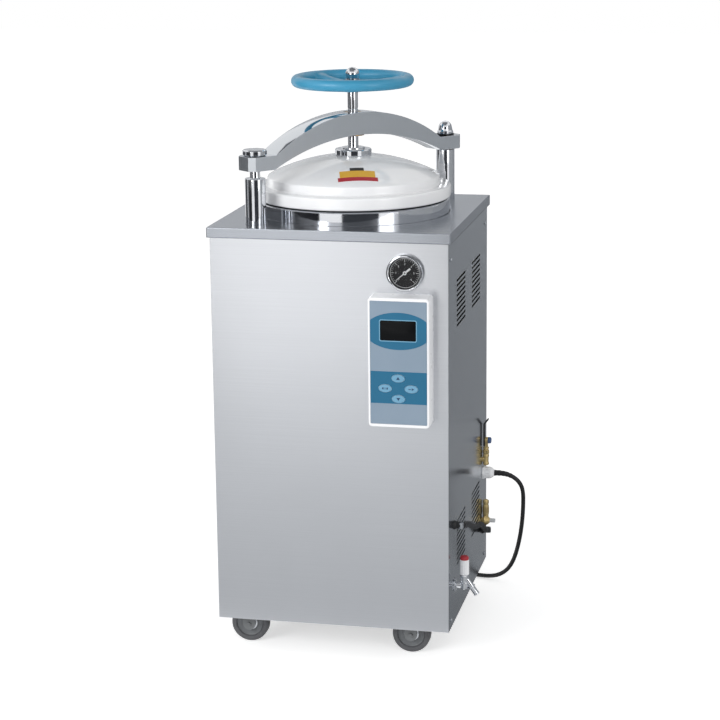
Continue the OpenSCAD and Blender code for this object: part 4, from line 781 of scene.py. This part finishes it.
def wheel_spoke(turn):
    """One spoke, lofted through ellipses that widen at the hub and at the rim."""
    rings = []
    hub_mid = (HUB_LOW + WHEEL_SEAT) / 2
    for out, wide, high in SPOKE_FORM:
        z = hub_mid + (WHEEL_Z - hub_mid) * (out - HUB_R / 2) / (RIM_RING_R - HUB_R / 2)
        rings.append([(out, wide * cos(a), z + high * sin(a)) for a in circle_angles(24)])
    return moved(loft(rings), about_z(turn))


def handwheel():
    spokes = [wheel_spoke(SPOKE_TURN + 2 * pi * i / 3) for i in range(3)]
    wheel = piece("handwheel_cast", join(wheel_rim(), wheel_hub(), *spokes), TEAL_GRIP,
                  node="handwheel", body="screw", smooth=180)
    fuse = wheel.modifiers.new("fuse", "REMESH")
    fuse.mode = "VOXEL"
    fuse.voxel_size = 1.5 * MM
    fuse.use_smooth_shade = True
    soften = wheel.modifiers.new("soften", "SMOOTH")
    soften.factor = 0.5
    soften.iterations = 9


handwheel()

# %% [markdown]
# ## Lid
# A turned shell: seal groove, thick rim, upright wall, shoulder and dome. The boss is polished.

# %%
SPRING_R = 159.0        # where the shoulder meets the dome
LID_WALL = 8


def dome_z(r, lift=0.0):
    return DOME_C + sqrt((DOME_R + lift) ** 2 - r * r)


def lid():
    inner = [(r, dome_z(r, -LID_WALL)) for r in [*range(0, 150, 15), 148]] + [(154, 868)]
    outer = rounded([(154, 868), (154, LID_BASE), (161, LID_BASE), (161, LID_BASE + 4),
                     (172, LID_BASE + 4), (172, LID_BASE), (RIM_R, LID_BASE), (RIM_R, RIM_TOP - 0.6),
                     (WALL_R + 1.5, RIM_TOP), (WALL_R, RIM_TOP + 4), (WALL_R, WALL_TOP - 1),
                     (SPRING_R - 4, dome_z(SPRING_R - 4))], 4.0, steps=6, closed=False)[1:]
    outer += [(SPRING_R - 4 - k * 11.7, dome_z(SPRING_R - 4 - k * 11.7)) for k in range(1, 10)]
    outer += [(PAD_R + 4, dome_z(PAD_R + 4)), (PAD_R, PAD_Z), (0, PAD_Z)]
    piece("lid_shell_enamelled", spin(inner + outer, 160), WHITE_ENAMEL, node="lid_shell", body="lid",
          smooth=50)
    top = PAD_Z + 12
    boss = [(0, PAD_Z), (33.5, PAD_Z), (34.5, PAD_Z + 1), (34.5, top - 1.6), (33, top), (22, top),
            (22, top + 3), (10.05, top + 3), (10.05, top), (14.6, top), (14.6, top - 9), (0, top - 9)]
    piece("lid_boss_turned", turned(boss, 0.7), POLISHED, node="lid_boss", body="lid")


lid()

BAR_TURN = radians(-74)     # direction of the colour bars on the dome
BARS = (("black", 12.8, 96.5, 108.1, BLACK_INK), ("yellow", 32.5, 108.5, 131.1, YELLOW_INK),
        ("red", 36.5, 131.5, 143.5, RED_INK))


def dome_bar(colour, half, near, far, material):
    """A thin bar that follows the dome: half its width, and its distances from the axis."""
    ahead = Vector((cos(BAR_TURN), sin(BAR_TURN), 0))
    side = Vector((-ahead.y, ahead.x, 0))
    rings = []
    for i in range(5):
        out = near + (far - near) * i / 4
        row = [ahead * out + side * (half * (2 * k / 8 - 1)) for k in range(9)]
        upper = [(p.x, p.y, dome_z(p.length, 0.35)) for p in row]
        lower = [(p.x, p.y, dome_z(p.length, 0.05)) for p in reversed(row)]
        rings.append(upper + lower)
    piece("lid_bar_" + colour, loft(rings), material, body="lid")


for bar in BARS:
    dome_bar(*bar)

# %% [markdown]
# ## Pressure gauge

# %%
GAUGE_PLACE = on_front(*GAUGE)
SCALE_TURN = 270        # degrees swept by the scale
SCALE_MARKS, LAST_NUMBER = 30, 6
DIAL_FACE, SCALE_TOP, NUMBER_R, NUMBER_Z = 3.5, 3.62, 16.4, 3.56
NEEDLE_REST = radians(130)


def scale_turn(i, n):
    """The angle of step i of n on the scale."""
    return radians(SCALE_TURN / 2 - SCALE_TURN * i / n)


def gauge():
    bezel = [(30.05, 0), (33.5, 0), (33.5, 7.6), (32.4, 9.5), (30.6, 10), (29.2, 9.2), (28.5, 7.6),
             (28.5, 2.5), (30.05, 2.5)]
    piece("gauge_bezel_turned", turned_ring(bezel, 0.6), POLISHED, GAUGE_PLACE, "gauge_bezel")
    plate = [(0, 2.5), (28.2, 2.5), (28.2, 3.5), (1.5, 3.5), (1.5, 5.4), (0, 5.4)]
    piece("gauge_dial_plate", turned(plate, 0.1, 96, 1), DIAL, GAUGE_PLACE, "gauge_dial")
    marks = []
    for i in range(SCALE_MARKS + 1):
        half, near = (0.18, 22.6) if i % 5 else (0.35, 20.2)
        mark = block((-half, near, DIAL_FACE), (half, 25.6, SCALE_TOP), 0.02, 1)
        marks.append(moved(mark, about_z(scale_turn(i, SCALE_MARKS))))
    ring = [(26.3, DIAL_FACE), (26.9, DIAL_FACE), (26.9, SCALE_TOP), (26.3, SCALE_TOP)]
    marks.append(spin(ring, 96, closed=True))
    piece("gauge_scale", join(*marks), DIAL_INK, GAUGE_PLACE)


def gauge_numbers():
    """Plain numbers 0 to 6 at the long marks."""
    for i in range(LAST_NUMBER + 1):
        turn = scale_turn(i, LAST_NUMBER)
        curve = bpy.data.curves.new("gauge_number", "FONT")
        curve.body = str(i)
        curve.size = 5.2
        curve.extrude = 0.05
        curve.align_x, curve.align_y = "CENTER", "CENTER"
        maker = add_object("number_maker", curve)
        mesh = bpy.data.meshes.new_from_object(maker)
        bpy.data.objects.remove(maker)
        bm = bmesh.new()
        bm.from_mesh(mesh)
        bpy.data.meshes.remove(mesh)
        place = Matrix.Translation((-NUMBER_R * sin(turn), NUMBER_R * cos(turn), NUMBER_Z))
        piece("gauge_number_" + str(i), bm, DIAL_INK, GAUGE_PLACE @ place)


def gauge_pointer():
    outline = [(-0.25, 22), (0.25, 22), (0.9, 3), (1.1, -3), (1.7, -5), (1.7, -13), (-1.7, -13),
               (-1.7, -5), (-1.1, -3), (-0.9, 3)]
    hand = slab(outline, 4.3, 5.1, 0.12, 1)
    hub = turned([(1.55, 4.3), (3.5, 4.3), (3.5, 5.4), (2.6, 5.9), (1.55, 5.9)], 0.3, 48)
    piece("gauge_pointer", join(hand, hub), DIAL_INK, GAUGE_PLACE @ about_z(NEEDLE_REST),
          "gauge_needle", body="needle", slot="needle")


def gauge_cover():
    """A slightly domed cover glass behind the bezel's lip."""
    low, edge_r, rise = 7.4, 28.45, 1.2
    bow_r = (edge_r ** 2 + rise ** 2) / (2 * rise)
    arc = [(edge_r * k / 12, low + 0.8 + rise - bow_r + sqrt(bow_r ** 2 - (edge_r * k / 12) ** 2))
           for k in range(12, -1, -1)]
    piece("gauge_cover_glass", spin([(0, low), (edge_r, low)] + arc, 96), GLASS, GAUGE_PLACE,
          "gauge_glass", smooth=50)


gauge()
gauge_numbers()
gauge_pointer()
gauge_cover()

# %% [markdown]
# ## Control box
# A moulded tray with a raised lip round the printed sheet. The keys stand in holes in the sheet.

# %%
BOX_PLACE = on_front(BOX_X, BOX_Z)
BOX_W, BOX_H, BOX_ROUND = 112.0, 238.0, 7.0
FILM_TOP, PRINT_TOP = BOX_D + 1, BOX_D + 1.12
SHEET_BACK = BOX_D + 0.05   # 0.15 mm behind a key that is pressed home
KEY_A, KEY_B = 12.0, 7.0    # half axes of a key
KEY_RISE = 1.68             # from the box's depth to a key's top
KEY_SHARES = {"key_up": (0.491, 0.376), "key_left": (0.26, 0.292), "key_right": (0.723, 0.292),
              "key_down": (0.495, 0.208)}
WINDOW_SHARE = (0.494, 0.764)
WINDOW_W, WINDOW_H, BORDER = 65.3, 36.7, 1.6


def on_membrane(share):
    return (share[0] - 0.5) * MEMBRANE_W, (share[1] - 0.5) * MEMBRANE_H


def oval(a, b, x=0.0, y=0.0, n=48):
    return [(x + a * cos(turn), y + b * sin(turn)) for turn in circle_angles(n)]


def shifted(outline, x, y):
    return [(x + px, y + py) for px, py in outline]


def key_holes(play):
    return [oval(KEY_A + play, KEY_B + play, *on_membrane(share)) for share in KEY_SHARES.values()]


def housing():
    w, h, r, top = BOX_W, BOX_H, BOX_ROUND, FILM_TOP + 0.4
    levels = [(0, 0), (0, top - 3.2), (0.35, top - 1.7), (1.2, top - 0.5), (2.4, top)]
    rings = [raised(round_outline(w - 2 * inset, h - 2 * inset, r - inset), z) for inset, z in levels]
    lip_w, lip_h = MEMBRANE_W + 0.6, MEMBRANE_H + 0.6
    for grow, z in ((0.7, top), (0.2, top - 0.25), (0, top - 0.7), (0, SHEET_BACK)):
        rings.append(raised(round_outline(lip_w + grow, lip_h + grow, 1.8), z))
    piece("control_housing_moulded", loft(rings), WHITE_PLASTIC, BOX_PLACE, "control_housing")


def printed_sheet():
    sheet = pierced(round_outline(MEMBRANE_W, MEMBRANE_H, 1.5), key_holes(0.4), SHEET_BACK, FILM_TOP)
    piece("control_sheet", sheet, FILM, BOX_PLACE, "control_membrane")
    reach = MEMBRANE_W / 2 - 0.3
    x, y = on_membrane((0.494, 0.760))
    field = [(max(-reach, min(reach, px)), py)
             for px, py in oval(0.596 * MEMBRANE_W, 0.151 * MEMBRANE_H, x, y, 96)]
    piece("control_sheet_oval", slab(field, FILM_TOP, PRINT_TOP), TEAL_FILM, BOX_PLACE)
    low, high = on_membrane((0, 0.169))[1], on_membrane((0, 0.431))[1]
    band = rectangle(2 * reach, high - low, 0, (low + high) / 2)
    piece("control_sheet_band", pierced(band, key_holes(0.5), FILM_TOP, PRINT_TOP), TEAL_FILM,
          BOX_PLACE)


def window():
    x, y = on_membrane(WINDOW_SHARE)
    inner = shifted(round_outline(WINDOW_W, WINDOW_H, 2.5), x, y)
    outer = shifted(round_outline(WINDOW_W + 2 * BORDER, WINDOW_H + 2 * BORDER, 3.5), x, y)
    piece("window_border", pierced(outer, [inner], FILM_TOP, FILM_TOP + 0.3), PALE_FILM, BOX_PLACE)
    piece("window_smoked", slab(inner, FILM_TOP, FILM_TOP + 0.7, 0.2, 2), DISPLAY, BOX_PLACE,
          "display_window")


KEY_SIGNS = {"key_up": [[(-3.4, -2.3), (3.4, -2.3), (0, 3.1)]],
             "key_down": [[(-3.4, 2.3), (0, -3.1), (3.4, 2.3)]],
             "key_left": [rectangle(2.6, 3.6, -3.9), rectangle(1.0, 3.6), rectangle(2.6, 3.6, 3.9)],
             "key_right": [rectangle(4.2, 1.3, -2.9), [(1.0, -2.2), (5.6, 0), (1.0, 2.2)]]}


def keys():
    for name, share in KEY_SHARES.items():
        x, y = on_membrane(share)
        rings = [raised(oval(KEY_A - inset, KEY_B - inset, x, y), BOX_D + rise)
                 for inset, rise in ((0, 0.8), (0, 1.35), (0.3, 1.6), (1.1, KEY_RISE))]
        piece(name + "_cap", loft(rings), KEY_FILM, BOX_PLACE, name, body=name)
        signs = [slab(shifted(sign, x, y), BOX_D + KEY_RISE, BOX_D + KEY_RISE + 0.1)
                 for sign in KEY_SIGNS[name]]
        piece(name + "_sign", join(*signs), KEY_INK, BOX_PLACE, body=name)


housing()
printed_sheet()
window()
keys()

# %% [markdown]
# ## Fittings on the right panel

# %%
TAP_PLACE, VALVE_PLACE = at(239, -TAP[0]), at(227, VALVE_Y)
SPOUT_TURN = radians(35)    # the spout's way, off plumb


def ribbed(r, low, high, ribs, depth, edge=1.0, n=96):
    """An upright grip with grooves between its ribs."""
    def ring(z, shrink):
        return [((r - shrink - depth * max(0.0, cos(ribs * a)) ** 2) * cos(a),
                 (r - shrink - depth * max(0.0, cos(ribs * a)) ** 2) * sin(a), z)
                for a in circle_angles(n)]
    return loft([ring(low, edge), ring(low + edge, 0), ring(high - edge, 0), ring(high, edge)])


def drain_tap():
    z = TAP[1]
    body = lifted([(0, -6.5), (5.5, -6.5), (8, -4.5), (8, 6), (6.9, 7), (6.9, 11), (8, 12),
                   (8, 19.5), (6.4, 21.5), (3, 21.5), (3, 36), (0, 36)], z)
    piece("drain_tap_upright", turned(body, 0.7, 64), POLISHED, TAP_PLACE, "drain_tap_body")
    nipple = [(0, -4), (5.5, -4), (5.5, 0), (13, 0), (13, 1.6), (11.4, 3), (7.2, 3.4), (5.5, 4.6),
              (5.5, 19), (0, 19)]
    piece("drain_tap_nipple", turned(nipple, 0.6, 64), POLISHED, on_right(-TAP[0], z))
    spout = [(0, 0), (5.5, 0), (5.5, 19), (7, 19), (7, 21.5), (5.2, 21.5), (5.2, 35.4), (5.5, 36.2),
             (5.5, 37.4), (5.1, 38), (4, 38), (4, 12), (0, 12)]
    start = Vector((241, -TAP[0], z + 15.5))
    way = Vector((sin(SPOUT_TURN), 0, -cos(SPOUT_TURN)))
    piece("drain_tap_spout", turned(spout, 0.4, 64), POLISHED, facing(start, way))
    grip = ribbed(8.6, z + 21.8, z + 50.8, 12, 0.9)
    piece("drain_tap_grip", grip, WHITE_PLASTIC, TAP_PLACE, "drain_tap_knob", body="tap_knob")
    cap = lifted([(0, 50.8), (8, 50.8), (8, 56), (6, 57.8), (0, 57.8)], z)
    piece("drain_tap_cap", turned(cap, 0.8, 48), RED_PLASTIC, TAP_PLACE, body="tap_knob")


def hex_prism(across, low, high, edge=0.8):
    """A hexagon with its corners turned down at both ends."""
    levels = ((0.92, low), (1, low + edge), (1, high - edge), (0.92, high))
    return loft([[(x * share, y * share, z) for x, y in hexagon(across)] for share, z in levels])


def lever_valve():
    z = EXHAUST_Z
    body = lifted([(0, -11), (4.8, -11), (6, -9.5), (6, -6), (5.2, -5), (5.2, 5), (6, 6), (6, 10),
                   (5, 11), (5, 22), (5.8, 23), (5.8, 25.5), (4.6, 26.5), (0, 26.5)], z)
    parts = [turned(body, 0.5, 48), hex_prism(6.4, z + 12, z + 20)]
    piece("lever_valve_upright", join(*parts), BRASS, VALVE_PLACE, "exhaust_valve_body")
    nipple = [(0, -4), (5, -4), (5, 7), (0, 7)]
    piece("lever_valve_nipple", turned(nipple, 0.4, 48), BRASS, on_right(VALVE_Y, z))
    tongue = [(-5, -14.5), (5, -14.5)] + [(6.5 * cos(a), 6.5 * sin(a))
                                          for a in (radians(-40 + 26 * k) for k in range(11))]
    piece("lever_valve_tongue", slab(tongue, 5.3, 10.6, 0.5), BRASS, on_right(VALVE_Y, LEVER_Z))


def lever():
    side_on = Matrix.Translation((PANEL, VALVE_Y, LEVER_Z)) @ Matrix.Rotation(pi / 2, 4, "X")
    outline = rounded([(1.8, -12), (5, -12), (5, 33), (12.9, 43.2), (10.4, 45.1), (1.8, 34.1)], 1.3)
    plate = moved(slab(outline, -4.5, 4.5, 0.9), side_on)
    across = on_right(VALVE_Y, LEVER_Z)
    pin = moved(turned([(0, 3.4), (2.5, 3.4), (2.5, 14), (0, 14)], 0.3, 32), across)
    piece("exhaust_lever_plate", join(plate, pin), BLACK_PLASTIC, node="exhaust_lever",
          body="valve_lever")
    cap = [(0, 10.9), (6.2, 10.9), (6.5, 11.6), (6.5, 15.6), (4.8, 17.4), (0, 17.4)]
    piece("exhaust_lever_cap", turned(cap, 0.6, 48), BLUE_PLASTIC, across, body="valve_lever")


def blow_off_valve():
    z = SAFETY_Z
    body = lifted([(0, -8), (5, -8), (6, -6.5), (6, -2), (5.4, 8), (5.4, 12), (6, 13), (6, 31),
                   (5.2, 32), (5.2, 35), (6, 36), (6, 41), (4.4, 43), (0, 43)], z)
    piece("blow_off_upright", join(turned(body, 0.5, 48), hex_prism(6.5, z + 16, z + 28)), BRASS,
          VALVE_PLACE, "safety_valve")
    place = on_right(VALVE_Y, z)
    cone = [(0, -4), (5, -4), (5, 4), (11.4, 4), (12, 5), (11.6, 6.4), (5.6, 14), (5, 15), (0, 15)]
    piece("blow_off_cone", turned(cone, 0.5, 64), BRASS, place)
    tip = [(0, 14), (4.2, 14), (4.2, 24.6), (3.4, 26), (2.4, 26), (2.4, 20), (0, 20)]
    piece("blow_off_tip", turned(tip, 0.4, 48), GREY_PLASTIC, place)


def gland():
    place = on_right(VALVE_Y, GLAND_Z)
    parts = [hex_prism(13.5, 0, 5),
             turned([(4.5, -13), (9, -13), (9, 0), (11.2, 0), (11.2, 6), (4.5, 6)], 0.4, 48),
             ribbed(12, 5.6, 16, 14, 0.7, 0.8, 112),
             turned([(11.2, 15.5), (11.4, 16.6), (10.6, 18.6), (8, 22), (6.4, 24), (4.6, 24)], 0.5, 64)]
    piece("cable_gland_moulded", join(*parts), WHITE_PLASTIC, place, "cable_gland")


HOSE_R, HOSE_X = 5.3, 232
HOSE_ROUTE = [(HOSE_X, y, z) for y, z in (
    (159, 142.3), (145, 147), (130, 153), (114, 161), (97, 170.5), (79, 178.8), (60, 184.6), (40, 189),
    (20, 193.6), (0, 199.4), (-20, 206.6), (-40, 214.6), (-60, 222.6), (-79, 229.8), (-97, 235.8),
    (-114, 240.6), (-130, 244.8), (-145, 249))]


def hose():
    """The return hose with a rolled cuff and a spring clip at each end."""
    line = smooth_line(HOSE_ROUTE, 4)
    piece("return_hose_rubber", sweep(line, HOSE_R, 24), BLACK_RUBBER, node="return_hose", smooth=60)
    clips = []
    for i, j in ((2, 5), (len(line) - 3, len(line) - 6)):
        band = [(HOSE_R, 0), (HOSE_R + 0.9, 0), (HOSE_R + 0.9, 4), (HOSE_R, 4)]
        clips.append(moved(turned_ring(band, 0.3, 48), facing(line[i], line[j] - line[i])))
    piece("return_hose_clips", join(*clips), DARK_STEEL)
    for name, first, y, z in (("back", HOSE_ROUTE[0], VALVE_Y, 138),
                              ("front", HOSE_ROUTE[-1], -TAP[0], 253)):
        corner = Vector((HOSE_X, y, z))
        end = corner + (Vector(first) - corner) * 0.9
        way = end - corner
        bend = [(220.3, y, z), (224, y, z), (228.5, y, z), corner + Vector((-0.8, 0, 0)) + way * 0.22,
                corner + way * 0.6, end]
        route = smooth_line(bend, 5)
        radii = [8.6 - 1.9 * min(1, i / 6) - 0.7 * i / (len(route) - 1) for i in range(len(route))]
        piece("hose_elbow_" + name, sweep(route, radii, 24), BLACK_RUBBER, smooth=60)


drain_tap()
lever_valve()
lever()
blow_off_valve()
gland()
hose()

# %% [markdown]
# ## Screws and castor wheels

# %%
SCREW_AT, SCREW_ROWS = 194, (80, 760)
SWIVEL_AT, WHEEL_TRAIL, WHEEL_R = 157, 18, 36
CORNERS = {"fl": (-1, -1), "fr": (1, -1), "bl": (-1, 1), "br": (1, 1)}


def screws():
    """Round-headed screws with a socket, on the side and back panels."""
    head = [(0, -6), (2, -6), (2, 0), (4, 0), (3.9, 0.8), (3.2, 1.8), (2, 2.4), (1.5, 2.4), (1.3, 1.2),
            (0, 1.2)]
    about = about_z(pi)
    right = [on_right(y, z) for y in (-SCREW_AT, SCREW_AT) for z in SCREW_ROWS]
    places = right + [about @ place for place in right]
    places += [about @ on_front(x, z) for x in (-SCREW_AT, 0, SCREW_AT) for z in SCREW_ROWS]
    heads = [moved(turned(head, 0.2, 24, 2), place) for place in places]
    piece("panel_screws", join(*heads), SATIN, node="cabinet_screws")


# part, rounding, steps, material, and the upper half of a profile that is the same below
WHEEL_PARTS = (
    ("_tyre", 1.0, 96, TYRE, [(25, 8.6), (27, 11), (32.4, 11), (35.2, 9.4), (WHEEL_R, 6.6)]),
    ("_core", 0.5, 96, CASTOR_CORE, [(14, 8.6), (15.8, 7.4), (22.5, 7.4), (25, 8.8)]),
    ("_hub", 0.5, 64, SATIN, [(4.05, 12), (7.4, 12), (8.2, 11.2), (8.6, 9.6), (12.4, 9.2), (14.4, 8)]))


def castor_wheel(corner):
    side_x, side_y = CORNERS[corner]
    name = "castor_wheel_" + corner
    place = (at(side_x * SWIVEL_AT - WHEEL_TRAIL, side_y * SWIVEL_AT, WHEEL_R)
             @ Matrix.Rotation(pi / 2, 4, "X"))
    for part, radius, steps, material, half in WHEEL_PARTS:
        profile = [(r, -z) for r, z in half] + half[::-1]
        piece(name + part, turned_ring(profile, radius, steps), material, place,
              name if part == "_tyre" else None, body="wheel_" + corner)


screws()
for corner in CORNERS:
    castor_wheel(corner)

# %% [markdown]
# ## Carried-over CAD nodes
# Their shapes are right, so they only get a material and softened edges.

# %%
KEEP = {
    "base_frame": (FRAME_PAINT, 1.0), "cross_bars": (FRAME_PAINT, 1.0),
    "cabinet_frame": (FRAME_PAINT, 0.6), "front_panel": (LIT_FRONT_STEEL, 0.5),
    "left_panel": (REAR_STEEL, 0), "right_panel": (SHADED_SIDE_STEEL, 0), "back_panel": (REAR_STEEL, 0),
    "vessel": (POLISHED, 0), "insulation": (WOOL, 0),
    "heater": (SHEATH, 0), "heater_plate": (SATIN, 0), "lug_nuts": (SATIN, 0),
    "gauge_case": (BLACK_PLASTIC, 0), "control_board": (BOARD, 0), "inner_pipes": (SATIN, 0),
    "spindle_nut": (BRONZE, 0), "pivot_bush": (BRONZE, 0), "lid_seal": (BLACK_RUBBER, 0),
    "basket": (SATIN, 0), "deck_cap": (SHADED_DECK_STEEL, 1.6), "yoke_bar": (YOKE_STEEL, 1.8)}
for corner in CORNERS:
    KEEP["castor_fork_" + corner] = (FRAME_PAINT, 0.5)


def dress_nodes():
    """Gives each carried-over node its material and, where it has one, its edge in millimetres."""
    for name, (material, edge) in KEEP.items():
        obj = NODES[name]
        obj.data.materials.clear()
        obj.data.materials.append(material)
        if edge:
            weld = obj.modifiers.new("weld", "WELD")
            weld.merge_threshold = 1e-5
            bevel = obj.modifiers.new("soft_edges", "BEVEL")
            bevel.width = edge * MM
            bevel.segments = 3
            bevel.limit_method = "ANGLE"
            bevel.angle_limit = radians(50)
            bevel.harden_normals = True


dress_nodes()

# %% [markdown]
# ## Stage, lights and what the metal mirrors
# The floor and the surroundings are plain and pale. Dark and grey cards stand outside the view;
# only mirror-like surfaces see them, as the dark bands in polished steel.

# %%
FLOOR_HALF = 14         # metres from the middle to the floor's edge
FLOOR_LIFT = 0.52       # emission that shows the floor as white
ZENITH = 0.36           # the world's strength overhead, against 1 at the horizon


def seen_directly(graph):
    """1 for camera, glossy and transmitted rays, which show the background as plain white."""
    path = graph.node("LightPath")
    total = path.outputs["Is Camera Ray"]
    for name in ("Is Glossy Ray", "Is Transmission Ray"):
        both = graph.node("Math", operation="MAXIMUM")
        graph.link(total, both.inputs[0])
        graph.link(path.outputs[name], both.inputs[1])
        total = both.outputs["Value"]
    return total


def add_floor():
    bm = bmesh.new()
    bmesh.ops.create_grid(bm, x_segments=1, y_segments=1, size=FLOOR_HALF)
    mesh = finished_mesh("floor", bm)
    s = Surface("white_floor", "f6f6f6", 0.9)
    s.set("Specular IOR Level", 0.0)
    s.colour(s.blend(s.spread(s.noise(900), 0, 1), "f8f8f8", "f4f4f4"))
    s.set("Emission Color", (1, 1, 1, 1))
    lift = s.node("Math", {1: FLOOR_LIFT}, operation="MULTIPLY")
    s.link(seen_directly(s), lift.inputs[0])
    s.link(lift.outputs["Value"], s.shader.inputs["Emission Strength"])
    mesh.materials.append(s.mat)
    add_object("floor", mesh)


def add_card(name, code, azimuth, span, distance, low=0.0, high=1.6):
    """An upright card, seen only in reflections. Its azimuth runs from the front to the right."""
    half = distance * tan(radians(span / 2))
    turn = about_z(radians(azimuth))
    corners = [turn @ Vector((x, -distance, z))
               for x, z in ((-half, low), (half, low), (half, high), (-half, high))]
    add_mirrored(name, code, corners)


def add_mirrored(name, code, corners):
    bm = bmesh.new()
    bm.faces.new([bm.verts.new(corner) for corner in corners])
    mesh = finished_mesh(name, bm)
    s = Surface(name, code, 1.0)
    s.set("Specular IOR Level", 0.0)
    mesh.materials.append(s.mat)
    card = add_object(name, mesh)
    card.visible_camera = card.visible_diffuse = card.visible_shadow = False
    card.visible_transmission = card.visible_volume_scatter = False


def add_light(name, place, target, size, power):
    lamp = bpy.data.lights.new(name, "AREA")
    lamp.shape = "RECTANGLE"
    lamp.size, lamp.size_y = size
    lamp.energy = power
    add_object(name, lamp).matrix_world = facing(place, Vector(place) - Vector(target))


def add_world():
    """Light from all round, weaker from above. Seen directly or mirrored it is plain white."""
    world = bpy.data.worlds.new("pale_room")
    scene.world = world
    world.use_nodes = True
    graph = Graph(world.node_tree)
    background = graph.tree.nodes["Background"]
    background.inputs["Color"].default_value = (1, 1, 1, 1)
    coords = graph.node("TexCoord")
    split = graph.node("SeparateXYZ")
    fall = graph.node("MapRange", {"To Min": 1.0, "To Max": ZENITH})
    graph.link(coords.outputs["Generated"], split.inputs["Vector"])
    graph.link(split.outputs["Z"], fall.inputs["Value"])
    mix = graph.node("Mix", {3: 1.0})
    graph.link(seen_directly(graph), mix.inputs[0])
    graph.link(fall.outputs["Result"], mix.inputs[2])
    graph.link(mix.outputs[0], background.inputs["Strength"])


# name, screen colour, azimuth, angle it spans, distance, lower edge where it isn't the floor
CARDS = (("grey_card_left", "595b5f", -96, 40, 1.6), ("pale_card_left", "a0a2a6", -66, 13, 1.6),
         ("dark_card_front_left", "2c2d30", -43, 33, 1.6),
         ("dark_card_front", "424449", 20, 42, 1.9, 0.2),
         ("grey_card_right", "b0b3b6", 90, 52, 1.5), ("grey_card_behind", "9da0a4", 148, 64, 1.5),
         ("pale_card_behind", "cdcfd2", -157, 46, 1.7))
JUST_OVER_FLOOR = 0.002


def flat(x_low, y_low, x_high, y_high, z):
    return [(x_low, y_low, z), (x_high, y_low, z), (x_high, y_high, z), (x_low, y_high, z)]


def add_stage():
    add_floor()
    add_world()
    add_light("soft_key", (-2.0, -3.0, 1.7), (0, 0, 0.6), (2.0, 1.4), 58)
    add_light("soft_fill", (2.4, -2.2, 1.5), (0, 0, 0.5), (1.4, 1.4), 14)
    for card in CARDS:
        add_card(*card)
    add_mirrored("grey_floor_right", "b0b3b7", flat(0.23, -0.3, 2.4, 1.6, JUST_OVER_FLOOR))
    add_mirrored("grey_floor_front", "d0d2d4", flat(-2.0, -2.6, 1.6, -0.32, JUST_OVER_FLOOR))
    add_mirrored("grey_ceiling", "8e9094", flat(-1.1, -1.3, 1.1, 0.9, 2.5)[::-1])


add_stage()
